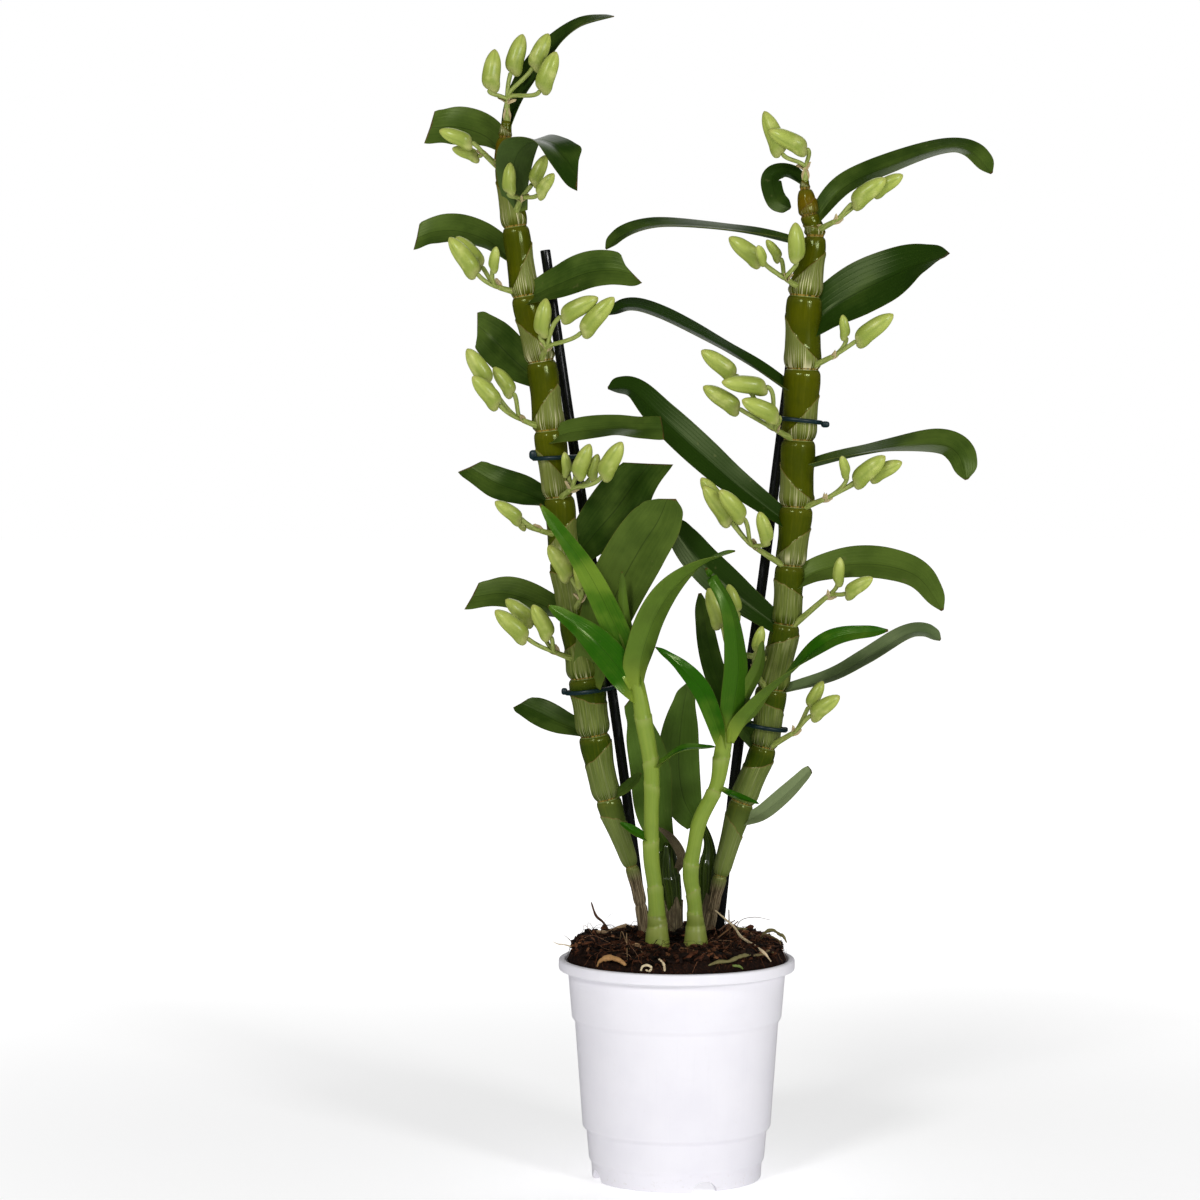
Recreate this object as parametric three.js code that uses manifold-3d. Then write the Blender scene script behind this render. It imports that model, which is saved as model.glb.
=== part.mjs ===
// Dendrobium orchid in its white grower's pot. Millimetres, +Z up, front toward -Y.
// The pot stands on z = 0 with its axis on the Z axis. Everything rests: nothing on it is jointed.
import * as THREE from 'three';
import { mergeVertices } from 'three/addons/utils/BufferGeometryUtils.js';
import Module from 'manifold-3d';

const wasm = await Module();
wasm.setup();

// ---------------------------------------------------------------- driving dimensions
const GAP = 0.3;                  // clearance between neighbouring pieces at rest
const POT_SIDES = 40;             // facets round the pot
const FLOOR_TOP = 8.2;            // upper face of the pot's floor
const FLOOR_UNDER = 6.5;          // underside of the floor over the drainage channel
const PAD_RADIUS = 8;             // centre pad that reaches the ground
// Arches in the foot ring (the first one's angle in degrees) and holes through the floor.
const NOTCH = { count: 4, width: 13, height: 5.5, first: -72, steps: 5, from: 36, deep: 9 };
const DRAIN = { count: 6, radius: 4, circle: 25, deep: 6, sides: 8 };
const SOIL_SIDES = 24;            // facets round the growing medium
const SOIL_INSET = 0.5;           // distance of the medium from the pot's wall
const HEAP_EDGE = [55.6, 111.2];  // where the free surface meets the pot, [radius, height]
// Free surface as [radius, height], its middle and its slope toward the back.
const HEAP = [[54.3, 115.5], [51.5, 119], [46, 120], [36, 120.3], [22, 120.3], [9, 120]];
const HEAP_PEAK = 120;
const HEAP_RISE = 0.025;
const RIPPLES = [[1, 3, 0.22, 0], [0.7, 5, -0.35, 1], [0.5, 9, 0.5, 2]];    // [height, lobes, twist, phase]
const CANE_SIDES = 8;
const STAKE_RADIUS = 2.6;
const STAKE_SIDES = 10;
const CLIP_RADIUS = 1.1;          // half the thickness of a clip's ring
const CLIP_SLACK = { cane: 0.9, stake: 0.6 };     // space inside the ring
const CLIP_SIDES = 5;
const LEAF_THICKNESS = 0.8;
const PEDICEL_RADIUS = 1.05;
const PEDUNCLE_RADIUS = 1.5;
const BUD_RADIUS = 4.6;
const BUD_SIDES = 6;
const BUD_SLENDER = 0.24;         // greatest radius a bud may have, as a share of its length
const PEDUNCLE_EXTRA = 0.4;       // thickness that the sheath adds to a peduncle
const RHIZOME_GAP = 0.45;         // clearance in the medium round the bent rhizomes

const LOOKS = {
  pot: { color: 0xf1f1f5, roughness: 0.38 },
  medium: { color: 0x33200f, roughness: 0.95 },
  cane: { color: 0x6f7a22, roughness: 0.35 },
  leaf: { color: 0x2f4a2b, roughness: 0.45 },
  bud: { color: 0xb9c977, roughness: 0.5 },
  shoot: { color: 0x86a546, roughness: 0.45 },
  old: { color: 0x2c3f18, roughness: 0.4 },
  stake: { color: 0x0c0d0f, roughness: 0.22 },
  clip: { color: 0x0e2b2e, roughness: 0.4 },
};

// ---------------------------------------------------------------- vectors and curves
const ACROSS = new THREE.Vector3(1, 0, 0);    // where the first facet of a round body starts
const v = (p) => new THREE.Vector3(p[0], p[1], p[2]);
const lerp = (a, b, t) => a + (b - a) * t;

// Point of the Catmull-Rom curve through `pts` at u in 0..1; the ends are extended in a straight line.
function onCurve(pts, u) {
  const last = pts.length - 1;
  const s = Math.min(Math.max(u, 0), 1) * last;
  const i = Math.min(Math.floor(s), last - 1);
  const t = s - i;
  const p1 = pts[i], p2 = pts[i + 1];
  const p0 = i > 0 ? pts[i - 1] : p1.clone().multiplyScalar(2).sub(p2);
  const p3 = i < last - 1 ? pts[i + 2] : p2.clone().multiplyScalar(2).sub(p1);
  const t2 = t * t, t3 = t2 * t;
  const w = [2 * t2 - t - t3, 3 * t3 - 5 * t2 + 2, 4 * t2 + t - 3 * t3, t3 - t2];
  return new THREE.Vector3()
    .addScaledVector(p0, w[0] / 2).addScaledVector(p1, w[1] / 2)
    .addScaledVector(p2, w[2] / 2).addScaledVector(p3, w[3] / 2);
}

function tangent(pts, u) {
  const e = 0.002;
  return onCurve(pts, Math.min(u + e, 1)).sub(onCurve(pts, Math.max(u - e, 0))).normalize();
}

// Value of a list of [position, value] stops at t, joined by straight lines.
function stops(list, t) {
  if (t <= list[0][0]) return list[0][1];
  for (let i = 1; i < list.length; i++) {
    const [from, low] = list[i - 1], [to, high] = list[i];
    if (t <= to) return lerp(low, high, (t - from) / (to - from));
  }
  return list[list.length - 1][1];
}

// ---------------------------------------------------------------- closed bodies
// A closed body from rings of equal length. Quads are split one way, and from point `back` of the
// ring on the other way, so that the two faces of a thin blade bend along the same lines. Each end
// is closed by the triangles of `cap`, or by a fan about the ring's centre, which counts as point n.
function loft(rings, { join = false, back = Infinity, cap } = {}) {
  const n = rings[0].length;
  const pos = [];
  const tri = [];
  rings.forEach((ring) => ring.forEach((p) => pos.push(p.x, p.y, p.z)));
  const rows = join ? rings.length : rings.length - 1;
  for (let r = 0; r < rows; r++) {
    const a = r * n, b = ((r + 1) % rings.length) * n;
    for (let k = 0; k < n; k++) {
      const j = (k + 1) % n;
      if (k < back) tri.push(a + k, b + j, a + j, a + k, b + k, b + j);
      else tri.push(a + k, b + k, a + j, a + j, b + k, b + j);
    }
  }
  const fan = Array.from({ length: n }, (_, k) => [n, k, (k + 1) % n]);
  for (const r of join ? [] : [0, rings.length - 1]) {
    const centre = pos.length / 3;
    if (!cap) pos.push(...rings[r].reduce((s, p) => s.add(p), new THREE.Vector3()).divideScalar(n));
    for (const face of cap ?? fan) {
      const [x, y, z] = face.map((k) => (k === n ? centre : r * n + k));
      if (r === 0) tri.push(x, y, z); else tri.push(x, z, y);
    }
  }
  return solid(pos, tri);
}

// A manifold from vertices and triangles, its faces turned out.
function solid(pos, tri) {
  let volume = 0;
  const P = (i) => new THREE.Vector3(pos[3 * i], pos[3 * i + 1], pos[3 * i + 2]);
  for (let i = 0; i < tri.length; i += 3) volume += P(tri[i]).dot(P(tri[i + 1]).cross(P(tri[i + 2])));
  if (volume < 0) for (let i = 0; i < tri.length; i += 3) [tri[i], tri[i + 1]] = [tri[i + 1], tri[i]];
  const mesh = new wasm.Mesh({
    numProp: 3, vertProperties: new Float32Array(pos), triVerts: new Uint32Array(tri),
  });
  mesh.merge();
  return new wasm.Manifold(mesh);
}

function fromGeometry(source) {
  const bare = new THREE.BufferGeometry();
  bare.setAttribute('position', source.getAttribute('position'));
  if (source.index) bare.setIndex(source.index);
  const g = mergeVertices(bare, 1e-4);
  return solid(Array.from(g.getAttribute('position').array), Array.from(g.index.array));
}

// The largest connected piece of a body, without slivers left by a cut.
function largest(body) {
  const parts = body.decompose();
  return parts.reduce((best, p) => (p.volume() > best.volume() ? p : best), parts[0]);
}

const overlap = (a, b) => {
  const A = a.boundingBox(), B = b.boundingBox();
  return [0, 1, 2].every((k) => A.min[k] < B.max[k] && B.min[k] < A.max[k]);
};

// `body` with every tool that reaches it cut away.
function carve(body, tools) {
  const near = tools.filter((t) => overlap(body, t));
  if (!near.length) return body;
  return largest(near.reduce((b, t) => b.subtract(t), body));
}

// Ring of `sides` points about c in the plane square to t, with `ref` giving the start direction.
function ring(c, t, ref, sides, rx, ry = rx) {
  const e1 = ref.clone().addScaledVector(t, -ref.dot(t)).normalize();
  const e2 = t.clone().cross(e1);
  return Array.from({ length: sides }, (_, k) => {
    const a = (2 * Math.PI * k) / sides;
    return c.clone().addScaledVector(e1, rx * Math.cos(a)).addScaledVector(e2, ry * Math.sin(a));
  });
}

// A round rod through points with a radius for each, grown by `grow` all over.
function rod(points, radii, sides, ref, perSpan, grow = 0) {
  const pts = points.map(v);
  const rows = perSpan * (pts.length - 1);
  const radiusStops = radii.map((r, i) => [i / (radii.length - 1), r]);
  const rings = [];
  for (let i = 0; i <= rows; i++) {
    const u = i / rows;
    const t = tangent(pts, u);
    const c = onCurve(pts, u);
    if (i === 0) c.addScaledVector(t, -grow);
    if (i === rows) c.addScaledVector(t, grow);
    rings.push(ring(c, t, ref, sides, stops(radiusStops, u) + grow));
  }
  return loft(rings);
}

// ---------------------------------------------------------------- pot
// Half section of the pot as [radius, height]: foot ring, drainage channel, centre pad, body with two
// steps, rim lip, then back down the inner wall to the floor.
const POT_INSIDE = [[53.9, 106.5], [52.1, 83.4], [50.5, 81], [46.6, 27.4], [44.6, 25], [43.3, 12],
  [41.8, FLOOR_TOP]];
const POT_SECTION = [
  [0, 0], [PAD_RADIUS, 0], [PAD_RADIUS + 1, FLOOR_UNDER], [38.6, FLOOR_UNDER], [39.6, 0],
  [42.5, 0], [43, 0.6], [43.4, 8], [44.6, 10], [45.9, 24.4], [47.85, 26.5], [51.75, 80], [53.3, 82.2],
  [55.3, 106], [59.4, 106.4], [60, 107], [60, 111.3], [59.3, 112], [56.9, 112],
  ...POT_INSIDE, [0, FLOOR_TOP],
];

function pot() {
  const profile = POT_SECTION.map(([r, z]) => new THREE.Vector2(r, z));
  let body = fromGeometry(new THREE.LatheGeometry(profile, POT_SIDES).rotateX(Math.PI / 2));
  for (let i = 0; i < DRAIN.count; i++) {
    const a = (2 * Math.PI * (i + 0.5)) / DRAIN.count;
    const hole = new THREE.CylinderGeometry(DRAIN.radius, DRAIN.radius, DRAIN.deep, DRAIN.sides)
      .rotateX(Math.PI / 2)
      .translate(DRAIN.circle * Math.cos(a), DRAIN.circle * Math.sin(a), FLOOR_TOP);
    body = body.subtract(fromGeometry(hole));
  }
  const arch = new THREE.Shape();
  arch.moveTo(-NOTCH.width / 2, -1);
  arch.lineTo(NOTCH.width / 2, -1);
  for (let k = 0; k <= NOTCH.steps; k++) {
    const a = (Math.PI * k) / NOTCH.steps;
    arch.lineTo((NOTCH.width / 2) * Math.cos(a), NOTCH.height * Math.sin(a));
  }
  for (let i = 0; i < NOTCH.count; i++) {
    const cut = new THREE.ExtrudeGeometry(arch, { depth: NOTCH.deep, bevelEnabled: false })
      .rotateX(Math.PI / 2).rotateZ(Math.PI / 2).translate(NOTCH.from, 0, 0)
      .rotateZ(THREE.MathUtils.degToRad(NOTCH.first + (360 * i) / NOTCH.count));
    body = body.subtract(fromGeometry(cut));
  }
  return body;
}

// ---------------------------------------------------------------- canes
// Axis of a cane as nodes [x, y, z] from the growing medium up, with the radius just above each node.
const CANES = {
  left: {
    nodes: [[-15, 24, 110], [-18, 23, 136], [-23, 22, 156], [-35, 20, 191], [-42, 18, 224],
      [-46, 16.5, 254],
      [-52, 15, 285], [-57, 14, 314], [-60, 13, 346], [-65, 12, 380], [-69, 11, 415], [-77, 10, 448],
      [-82, 10, 483], [-87, 10, 514], [-87, 10, 528], [-86, 10, 538]],
    radii: [2.8, 2.9, 3.4, 6.6, 8, 9.2, 7.9, 7.8, 7.6, 7.9, 7.4, 7.1, 6.6, 5, 3.3, 2.4],
  },
  right: {
    nodes: [[15, 26, 110], [19, 25, 132], [23, 24, 151], [34, 22, 189], [45, 20, 218], [49, 18, 248],
      [56, 16, 281], [58, 15, 311], [61, 14, 341], [62, 13, 375], [64, 12, 411], [65, 11, 448],
      [70, 10, 478], [67, 10, 489], [65, 10, 502], [65, 10, 508]],
    radii: [2.6, 2.8, 3.8, 6.5, 6.7, 8, 7, 7.3, 8.4, 8.5, 9.1, 8.7, 5.2, 3.9, 2.5, 1.6],
  },
};
// Along an internode: [height as a share of its length, factor on the radius]. It is pinched at the
// node, full just above it under the sheath, and swells again below the next node.
const CANE_ROWS = [[0, 0.91], [0.09, 1.02], [0.5, 0.98], [0.87, 1.04]];

function cane({ nodes, radii }, grow = 0) {
  const pts = nodes.map(v);
  const spans = pts.length - 1;
  const rings = [];
  for (let i = 0; i < spans; i++) {
    for (const [at, factor] of CANE_ROWS) {
      const c = onCurve(pts, (i + at) / spans);
      const t = tangent(pts, (i + at) / spans);
      if (i === 0 && at === 0) c.addScaledVector(t, -grow);
      rings.push(ring(c, t, ACROSS, CANE_SIDES, lerp(radii[i], radii[i + 1], at) * factor + grow));
    }
  }
  const t = tangent(pts, 1);
  rings.push(ring(pts[spans].addScaledVector(t, grow), t, ACROSS, CANE_SIDES, radii[spans] + grow));
  return loft(rings);
}

// ---------------------------------------------------------------- leaves
// A blade: centre points from the stem outward, greatest width and the directions its upper face looks at,
// spread evenly from base to tip. `base` and `tip` are the widths of its ends as a share of the greatest, and
// `skew` is how far one margin runs ahead of the other at the tip, as a share of the half width.
const LEAVES = {
  left: {
    1: { at: [[-86, 10, 531], [-79, 17, 553], [-66, 20, 572], [-50, 15, 585], [-32, 8, 589]],
      wide: 16, tip: 0.06, face: [[-0.6, -0.6, 0.5], [-0.4, -0.6, 0.7], [0, -0.3, 1]] },
    2: { at: [[-88, 11, 521], [-98, 20, 530], [-112, 28, 535], [-126, 33, 535]],
      wide: 22, tip: 0.74, skew: -0.25, face: [[0, -0.5, 0.9], [-0.2, -0.8, 0.5], [-0.2, -1, 0.1]] },
    3: { at: [[-81, 4, 490], [-83, 0, 505], [-81, -5, 518], [-74, -14, 524.5], [-64, -26, 522],
        [-56, -34, 514], [-50, -38, 505]],
      wide: 21, base: 0.5, tip: 0.5, skew: 0.75, fine: true,
      face: [[0.1, 1, 0.1], [0.1, 1, 0.2], [-0.1, 0.8, 0.6], [-0.1, 0, 1], [0.3, -0.5, 0.8],
        [0.4, -0.9, 0.3], [0.4, -0.95, 0.1]] },
    4: { at: [[-84, 11, 466], [-95, 20, 476], [-111, 29, 482], [-124, 34, 482], [-133, 36, 479]],
      wide: 18, tip: 0.72, skew: -0.35, face: [[0, -0.6, 0.9], [-0.3, -0.9, 0.3]] },
    5: { at: [[-77, 8, 446], [-60, -2, 453.5], [-45, -8, 459], [-33, -12, 460], [-22.5, -14, 458]],
      wide: 22, tip: 0.42, skew: 0.55, face: [[-0.3, -0.85, 0.5], [0, -0.85, 0.5]] },
    6: { at: [[-69, 12, 404], [-82, 20, 415], [-94, 28, 427], [-102, 30, 434]],
      wide: 21, tip: 0.45, skew: 0.4, face: [[-0.4, -0.9, 0.4], [-0.3, -0.9, 0.4]] },
    7: { at: [[-66, 10, 375], [-53.5, 1, 379], [-32, -10.5, 381], [-19, -18.5, 380.5],
        [-7.5, -23, 380.5]],
      wide: 17, tip: 0.72, skew: 0.2,
      face: [[0, -0.85, 0.5], [0, -0.8, 0.6], [0.1, -0.7, 0.7], [0.2, -0.8, 0.6], [0.2, -0.95, 0.3]] },
    8: { at: [[-62, 14, 342], [-77, 21, 348], [-92, 28, 353], [-106, 32, 361]],
      wide: 18, tip: 0.62, skew: -0.4, face: [[0, -0.75, 0.65], [-0.2, -0.9, 0.4]] },
    9: { at: [[-53, 14, 313], [-42, 9, 327], [-31, 6, 340], [-21, 4, 354], [-14, 3, 363]],
      wide: 28, tip: 0.77, skew: 0.55, face: [[-0.2, -0.9, 0.4], [0, -0.9, 0.4]] },
    10: { at: [[-51, 16, 283], [-70, 25, 291], [-88, 32, 296], [-105, 37, 294]],
      wide: 19, tip: 0.74, skew: -0.4, face: [[0, -0.6, 0.9], [-0.2, -0.9, 0.4]] },
    11: { at: [[-43, 18, 224], [-60, 26, 230], [-71, 31, 235], [-80, 35, 239]],
      wide: 15, tip: 0.5, skew: -0.3, face: [[0, -0.8, 0.6], [-0.2, -0.9, 0.4]] },
    12: { at: [[-35, 20, 191], [-25, 12, 198], [-18, 9, 205]],
      wide: 6, face: [[-0.4, -0.8, 0.4], [-0.4, -0.8, 0.4]] },
    13: { at: [[-44, 12, 252], [-39, 3, 274], [-30, -1, 299], [-19, -5, 320], [-10, -7, 334],
        [-5, -8, 345.5]],
      wide: 30, base: 0.56, tip: 0.28, skew: 0.12,
      face: [[-0.4, -0.9, 0], [-0.3, -1, 0.1], [-0.2, -1, 0.2]] },
  },
  right: {
    1: { at: [[65, 10, 504], [57, 17, 511], [49, 19, 509], [51, 20, 498], [58, 18, 493]],
      wide: 12, face: [[0, -0.5, 0.8], [-0.6, -0.6, 0]] },
    2: { at: [[69, 10, 485], [86, 10, 504], [111, 8, 515], [135, 3, 522], [148, 0, 520], [158, -3, 509]],
      wide: 19, tip: 0.1,
      face: [[-0.3, -0.8, 0.5], [-0.1, -0.6, 0.8], [0, -0.45, 0.9], [0.1, -0.6, 0.7]] },
    3: { at: [[68, 10, 473], [38, 6, 480], [11, 2, 483], [-11, -2, 483], [-26, -4, 479], [-36, -6, 471]],
      wide: 16, tip: 0.1, face: [[0, -0.35, 1], [0, -0.35, 1], [-0.4, -0.6, 0.75]] },
    4: { at: [[66, 11, 430], [77, 8, 441], [92, 6, 450], [107, 2, 457], [120, -3, 463], [134, -8, 467]],
      wide: 29, tip: 0.1, skew: -0.2, face: [[0.2, -0.8, 0.6], [0, -0.9, 0.5], [0, -0.6, 0.8]] },
    5: { at: [[63, 12, 396], [37, 8, 414], [14, 2, 427], [-9, -3, 438], [-24, -6, 442], [-35, -8, 438]],
      wide: 18, tip: 0.1, face: [[0, -0.45, 0.9], [0, -0.45, 0.9], [-0.2, -0.5, 0.85]] },
    6: { at: [[60, 14, 330], [32, 7, 351], [12, 2, 368], [-8, -2, 386], [-23, -7, 400], [-35, -10, 401]],
      wide: 19, tip: 0.12, face: [[-0.3, -0.75, 0.6], [0, -0.8, 0.6], [0.2, -0.6, 0.85]] },
    7: { at: [[62, 13, 360], [88, 9, 367], [110, 6, 371], [132, 2, 373], [142, -1, 368], [146, -3, 355]],
      wide: 21, tip: 0.1, face: [[0, -0.25, 1], [0, -0.3, 1], [0.3, -0.7, 0.7], [0.5, -0.9, 0.3]] },
    8: { at: [[57, 16, 276], [30, 11, 297], [12, 8, 314], [-4, 6, 335]],
      wide: 18, face: [[-0.3, -0.8, 0.5], [-0.3, -0.8, 0.5]] },
    9: { at: [[59, 15, 300], [72, 12, 308], [90, 8, 312], [108, 4, 311], [123, 0, 305], [134, -5, 289]],
      wide: 20, tip: 0.1, face: [[0, -0.7, 0.7], [0.1, -0.8, 0.6], [0.5, -0.75, 0.4]] },
    10: { at: [[50, 18, 245], [76, 12, 253], [96, 6, 264], [115, 0, 276], [125, -3, 278], [133, -5, 274]],
      wide: 15, face: [[0, -0.5, 0.85], [0.2, -0.5, 0.85]] },
    11: { at: [[33, 22, 178], [45, 14, 185], [57, 6, 196], [68, 0, 208]],
      wide: 10, tip: 0.5, face: [[-0.5, -0.8, 0.4], [-0.5, -0.8, 0.4]] },
    12: { at: [[45, 20, 214], [31, 17, 235], [19, 15, 260], [12, 14, 297]],
      wide: 12, face: [[-0.4, -0.9, 0], [-0.3, -1, 0]] },
  },
};
// Between the ends of a blade: [position from base to tip, share of the greatest width].
const LEAF_WIDTH = [[0.14, 0.7], [0.36, 0.98], [0.64, 1], [0.86, 0.8]];
const FINE_WIDTH = [[0.14, 0.72], [0.28, 0.9], [0.44, 0.96], [0.58, 1], [0.72, 1], [0.87, 0.95]];
const LEAF_FOLD = 0.22;           // lift of the margins as a share of the half width
const LEAF_CLASP = 0.35;          // further lift at the base, where the blade clasps its stem
const CLASP_END = 0.3;            // where the clasping part ends
const TIP_START = 0.72;           // where one margin starts to run ahead

const ease = (a, b, x) => {
  const t = Math.min(Math.max((x - a) / (b - a), 0), 1);
  return t * t * (3 - 2 * t);
};

// Six points round a blade: two margins and a midrib on the upper face, the same below. The lower
// face starts at point 3, and an end is closed by a four-sided half on either side of the midrib.
const BLADE = { back: 3, cap: [[0, 1, 4], [0, 4, 5], [1, 2, 3], [1, 3, 4]] };

function blade(leaf, between = LEAF_WIDTH, clasp = LEAF_CLASP) {
  const { at, wide, face, base = 0.42, tip = 0.14, skew = 0, fine = false } = leaf;
  const pts = at.map(v);
  const looks = face.map((f) => v(f).normalize());
  const stopsAlong = [[0, base], ...(fine ? FINE_WIDTH : between), [1, tip]];
  const rings = stopsAlong.map(([u, share]) => {
    const c = onCurve(pts, u);
    const t = tangent(pts, u);
    const side = t.clone().cross(onCurve(looks, u)).normalize();
    const up = side.clone().cross(t);
    const half = (wide / 2) * share;
    const ahead = skew * (wide / 2) * ease(TIP_START, 1, u);
    const place = (s, h) => c.clone().addScaledVector(side, s * half).addScaledVector(up, h)
      .addScaledVector(t, s * ahead);
    const lift = (LEAF_FOLD + clasp * (1 - ease(0, CLASP_END, u))) * half;
    const under = lift - LEAF_THICKNESS;
    return [place(-1, lift), place(0, 0), place(1, lift), place(1, under), place(0, -LEAF_THICKNESS),
      place(-1, under)];
  });
  return loft(rings, BLADE);
}

// ---------------------------------------------------------------- bud sprays
// A spray leaves the cane at its seat, runs to a fork and carries one pedicel to each bud, given as
// [base, tip] of the bud.
const SPRAYS = {
  left: {
    1: { seat: [-86, 10, 535], fork: [-86, 8, 546], buds: [[[-95, 5, 552], [-92, 5, 572]],
      [[-84, 9, 561], [-78, 9, 580]], [[-73, 6, 563], [-65, 6, 580]], [[-69, 0, 551], [-61, -2, 570]]] },
    2: { seat: [-88, 10, 511], fork: [-97, 5, 519], buds: [[[-104, 2, 525], [-120, 2, 531]],
      [[-101, 11, 519], [-114, 14, 523]]] },
    3: { seat: [-83, 10, 487], fork: [-79, -3, 496], buds: [[[-85, -8, 499], [-84, -9, 514]],
      [[-73, -4, 504], [-66, -5, 518]], [[-70, -11, 498], [-62, -16, 508]]] },
    4: { seat: [-78, 10, 449], fork: [-90, 3, 452], buds: [[[-101, -1, 459], [-115, -2, 477]],
      [[-99, 8, 463], [-112, 10, 478]], [[-93, -5, 461], [-91, -9, 472]]] },
    5: { seat: [-70, 11, 414], fork: [-66, -5, 421], buds: [[[-69, -10, 428], [-66, -12, 446]],
      [[-58, -17, 437], [-40, -21, 446]], [[-48, -19, 429], [-32, -24, 446]]] },
    6: { seat: [-65, 12, 380], fork: [-78, 3, 385], buds: [[[-95, -1, 404], [-106, -3, 421]],
      [[-90, -7, 393], [-103, -10, 407]], [[-83, 6, 399], [-93, 8, 412]]] },
    7: { seat: [-61, 13, 344], fork: [-54, -3, 350], buds: [[[-51, -10, 357], [-44, -14, 373]],
      [[-38, -18, 357], [-28, -24, 374]], [[-55, -1, 358], [-57, -3, 369]],
      [[-44, -8, 356], [-40, -11, 368]]] },
    8: { seat: [-58, 13, 326], fork: [-69, 3, 329], buds: [[[-79, -1, 335], [-92, -3, 344]],
      [[-77, 8, 332], [-86, 11, 338]]] },
    9: { seat: [-53, 15, 286], fork: [-49, 0, 294], buds: [[[-54, -5, 306], [-65, -7, 322]],
      [[-48, -7, 302], [-51, -11, 314]]] },
    10: { seat: [-47, 16, 261], fork: [-61, 4, 267], buds: [[[-76, -2, 275], [-92, -4, 289]],
      [[-73, 5, 283], [-87, 8, 294]], [[-64, -5, 276], [-73, -8, 292]]] },
  },
  right: {
    1: { seat: [65, 10, 505], fork: [65, 9, 512], buds: [[[53, 6, 520], [44, 6, 541]],
      [[65, 3, 522], [46, 1, 531]]] },
    2: { seat: [69, 10, 480], fork: [79, -1, 485], buds: [[[88, -6, 494], [104, -11, 506]],
      [[99, -3, 500], [113, -7, 508]]] },
    3: { seat: [66, 11, 450], fork: [55, -1, 456], buds: [[[42, -2, 465], [26, -3, 477]],
      [[43, -9, 465], [40, -17, 472]], [[52, 3, 467], [45, 2, 476]], [[60, -8, 465], [59, -10, 484]]] },
    4: { seat: [64, 12, 410], fork: [78, -1, 417], buds: [[[90, -7, 425], [108, -12, 438]],
      [[85, -4, 427], [83, -6, 438]]] },
    5: { seat: [62, 13, 374], fork: [50, -3, 380], buds: [[[29, -5, 408], [12, -8, 420]],
      [[44, -11, 402], [22, -16, 404]], [[31, -4, 391], [13, -5, 402]],
      [[50, -14, 387], [32, -20, 395]]] },
    6: { seat: [61, 14, 339], fork: [74, 0, 345], buds: [[[89, -8, 354], [104, -14, 367]],
      [[98, -3, 357], [113, -8, 364]], [[85, -11, 358], [82, -17, 367]]] },
    7: { seat: [58, 15, 309], fork: [39, -2, 321], buds: [[[27, -8, 334], [13, -12, 352]],
      [[22, -4, 343], [12, -6, 356]], [[33, -14, 336], [21, -20, 350]],
      [[46, -9, 324], [41, -13, 339]]] },
    8: { seat: [56, 16, 277], fork: [76, -1, 296], buds: [[[81, -6, 303], [82, -9, 316]],
      [[85, -9, 298], [98, -14, 306]]] },
    9: { seat: [52, 17, 262], fork: [29, 6, 267], buds: [[[23, 3, 281], [16, 2, 300]],
      [[31, 4, 288], [26, 3, 302]]] },
    10: { seat: [48, 18, 245], fork: [40, 3, 257], buds: [[[40, -1, 268], [43, -3, 281]]] },
    11: { seat: [45, 20, 216], fork: [59, 5, 226], buds: [[[67, 1, 240], [74, -1, 253]],
      [[68, -4, 236], [82, -8, 246]]] },
  },
};
// Along a bud: [position from base to tip, factor on the radius, swelling of the chin to the lower side].
const BUD_ROWS = [[0.14, 0.86, 0.7], [0.46, 1, 0], [0.8, 0.62, 0], [1, 0.08, 0]];

// Point of the smooth bend that leaves a along ta and reaches b along tb.
function bend(a, ta, b, tb, t) {
  const h = [2 * t ** 3 - 3 * t ** 2 + 1, t ** 3 - 2 * t ** 2 + t, -2 * t ** 3 + 3 * t ** 2, t ** 3 - t ** 2];
  return new THREE.Vector3().addScaledVector(a, h[0]).addScaledVector(ta, h[1]).addScaledVector(b, h[2])
    .addScaledVector(tb, h[3]);
}

function bud(seat, fork, [base, tip]) {
  const a = v(fork), b = v(base), c = v(tip);
  const out = a.clone().sub(v(seat)).normalize();
  const axis = c.clone().sub(b);
  const size = axis.length();
  axis.normalize();
  const reach = a.distanceTo(b);
  const ta = out.multiplyScalar(reach), tb = axis.clone().multiplyScalar(reach);
  const ref = new THREE.Vector3(0.2, 1, 0.1).normalize();
  const rings = [0, 0.5, 1].map((t) => {
    const p = bend(a, ta, b, tb, t);
    const dir = bend(a, ta, b, tb, t + 0.001).sub(p).normalize();
    return ring(p, dir, ref, BUD_SIDES, PEDICEL_RADIUS);
  });
  const radius = Math.min(BUD_RADIUS, size * BUD_SLENDER);
  const down = new THREE.Vector3(0, 0, -1).addScaledVector(axis, axis.z).normalize();
  BUD_ROWS.forEach(([t, f, chin]) => {
    const p = b.clone().addScaledVector(axis, t * size).addScaledVector(down, chin);
    rings.push(ring(p, axis, ref, BUD_SIDES, radius * f));
  });
  return loft(rings);
}

const stalk = ({ seat, fork }, grow = 0) =>
  rod([seat, fork], [PEDUNCLE_RADIUS, PEDUNCLE_RADIUS * 0.8], BUD_SIDES, ACROSS, 1, PEDUNCLE_EXTRA + grow);
const spray = (data) => data.buds.map((b) => bud(data.seat, data.fork, b))
  .reduce((all, b) => all.add(b), stalk(data));

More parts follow.
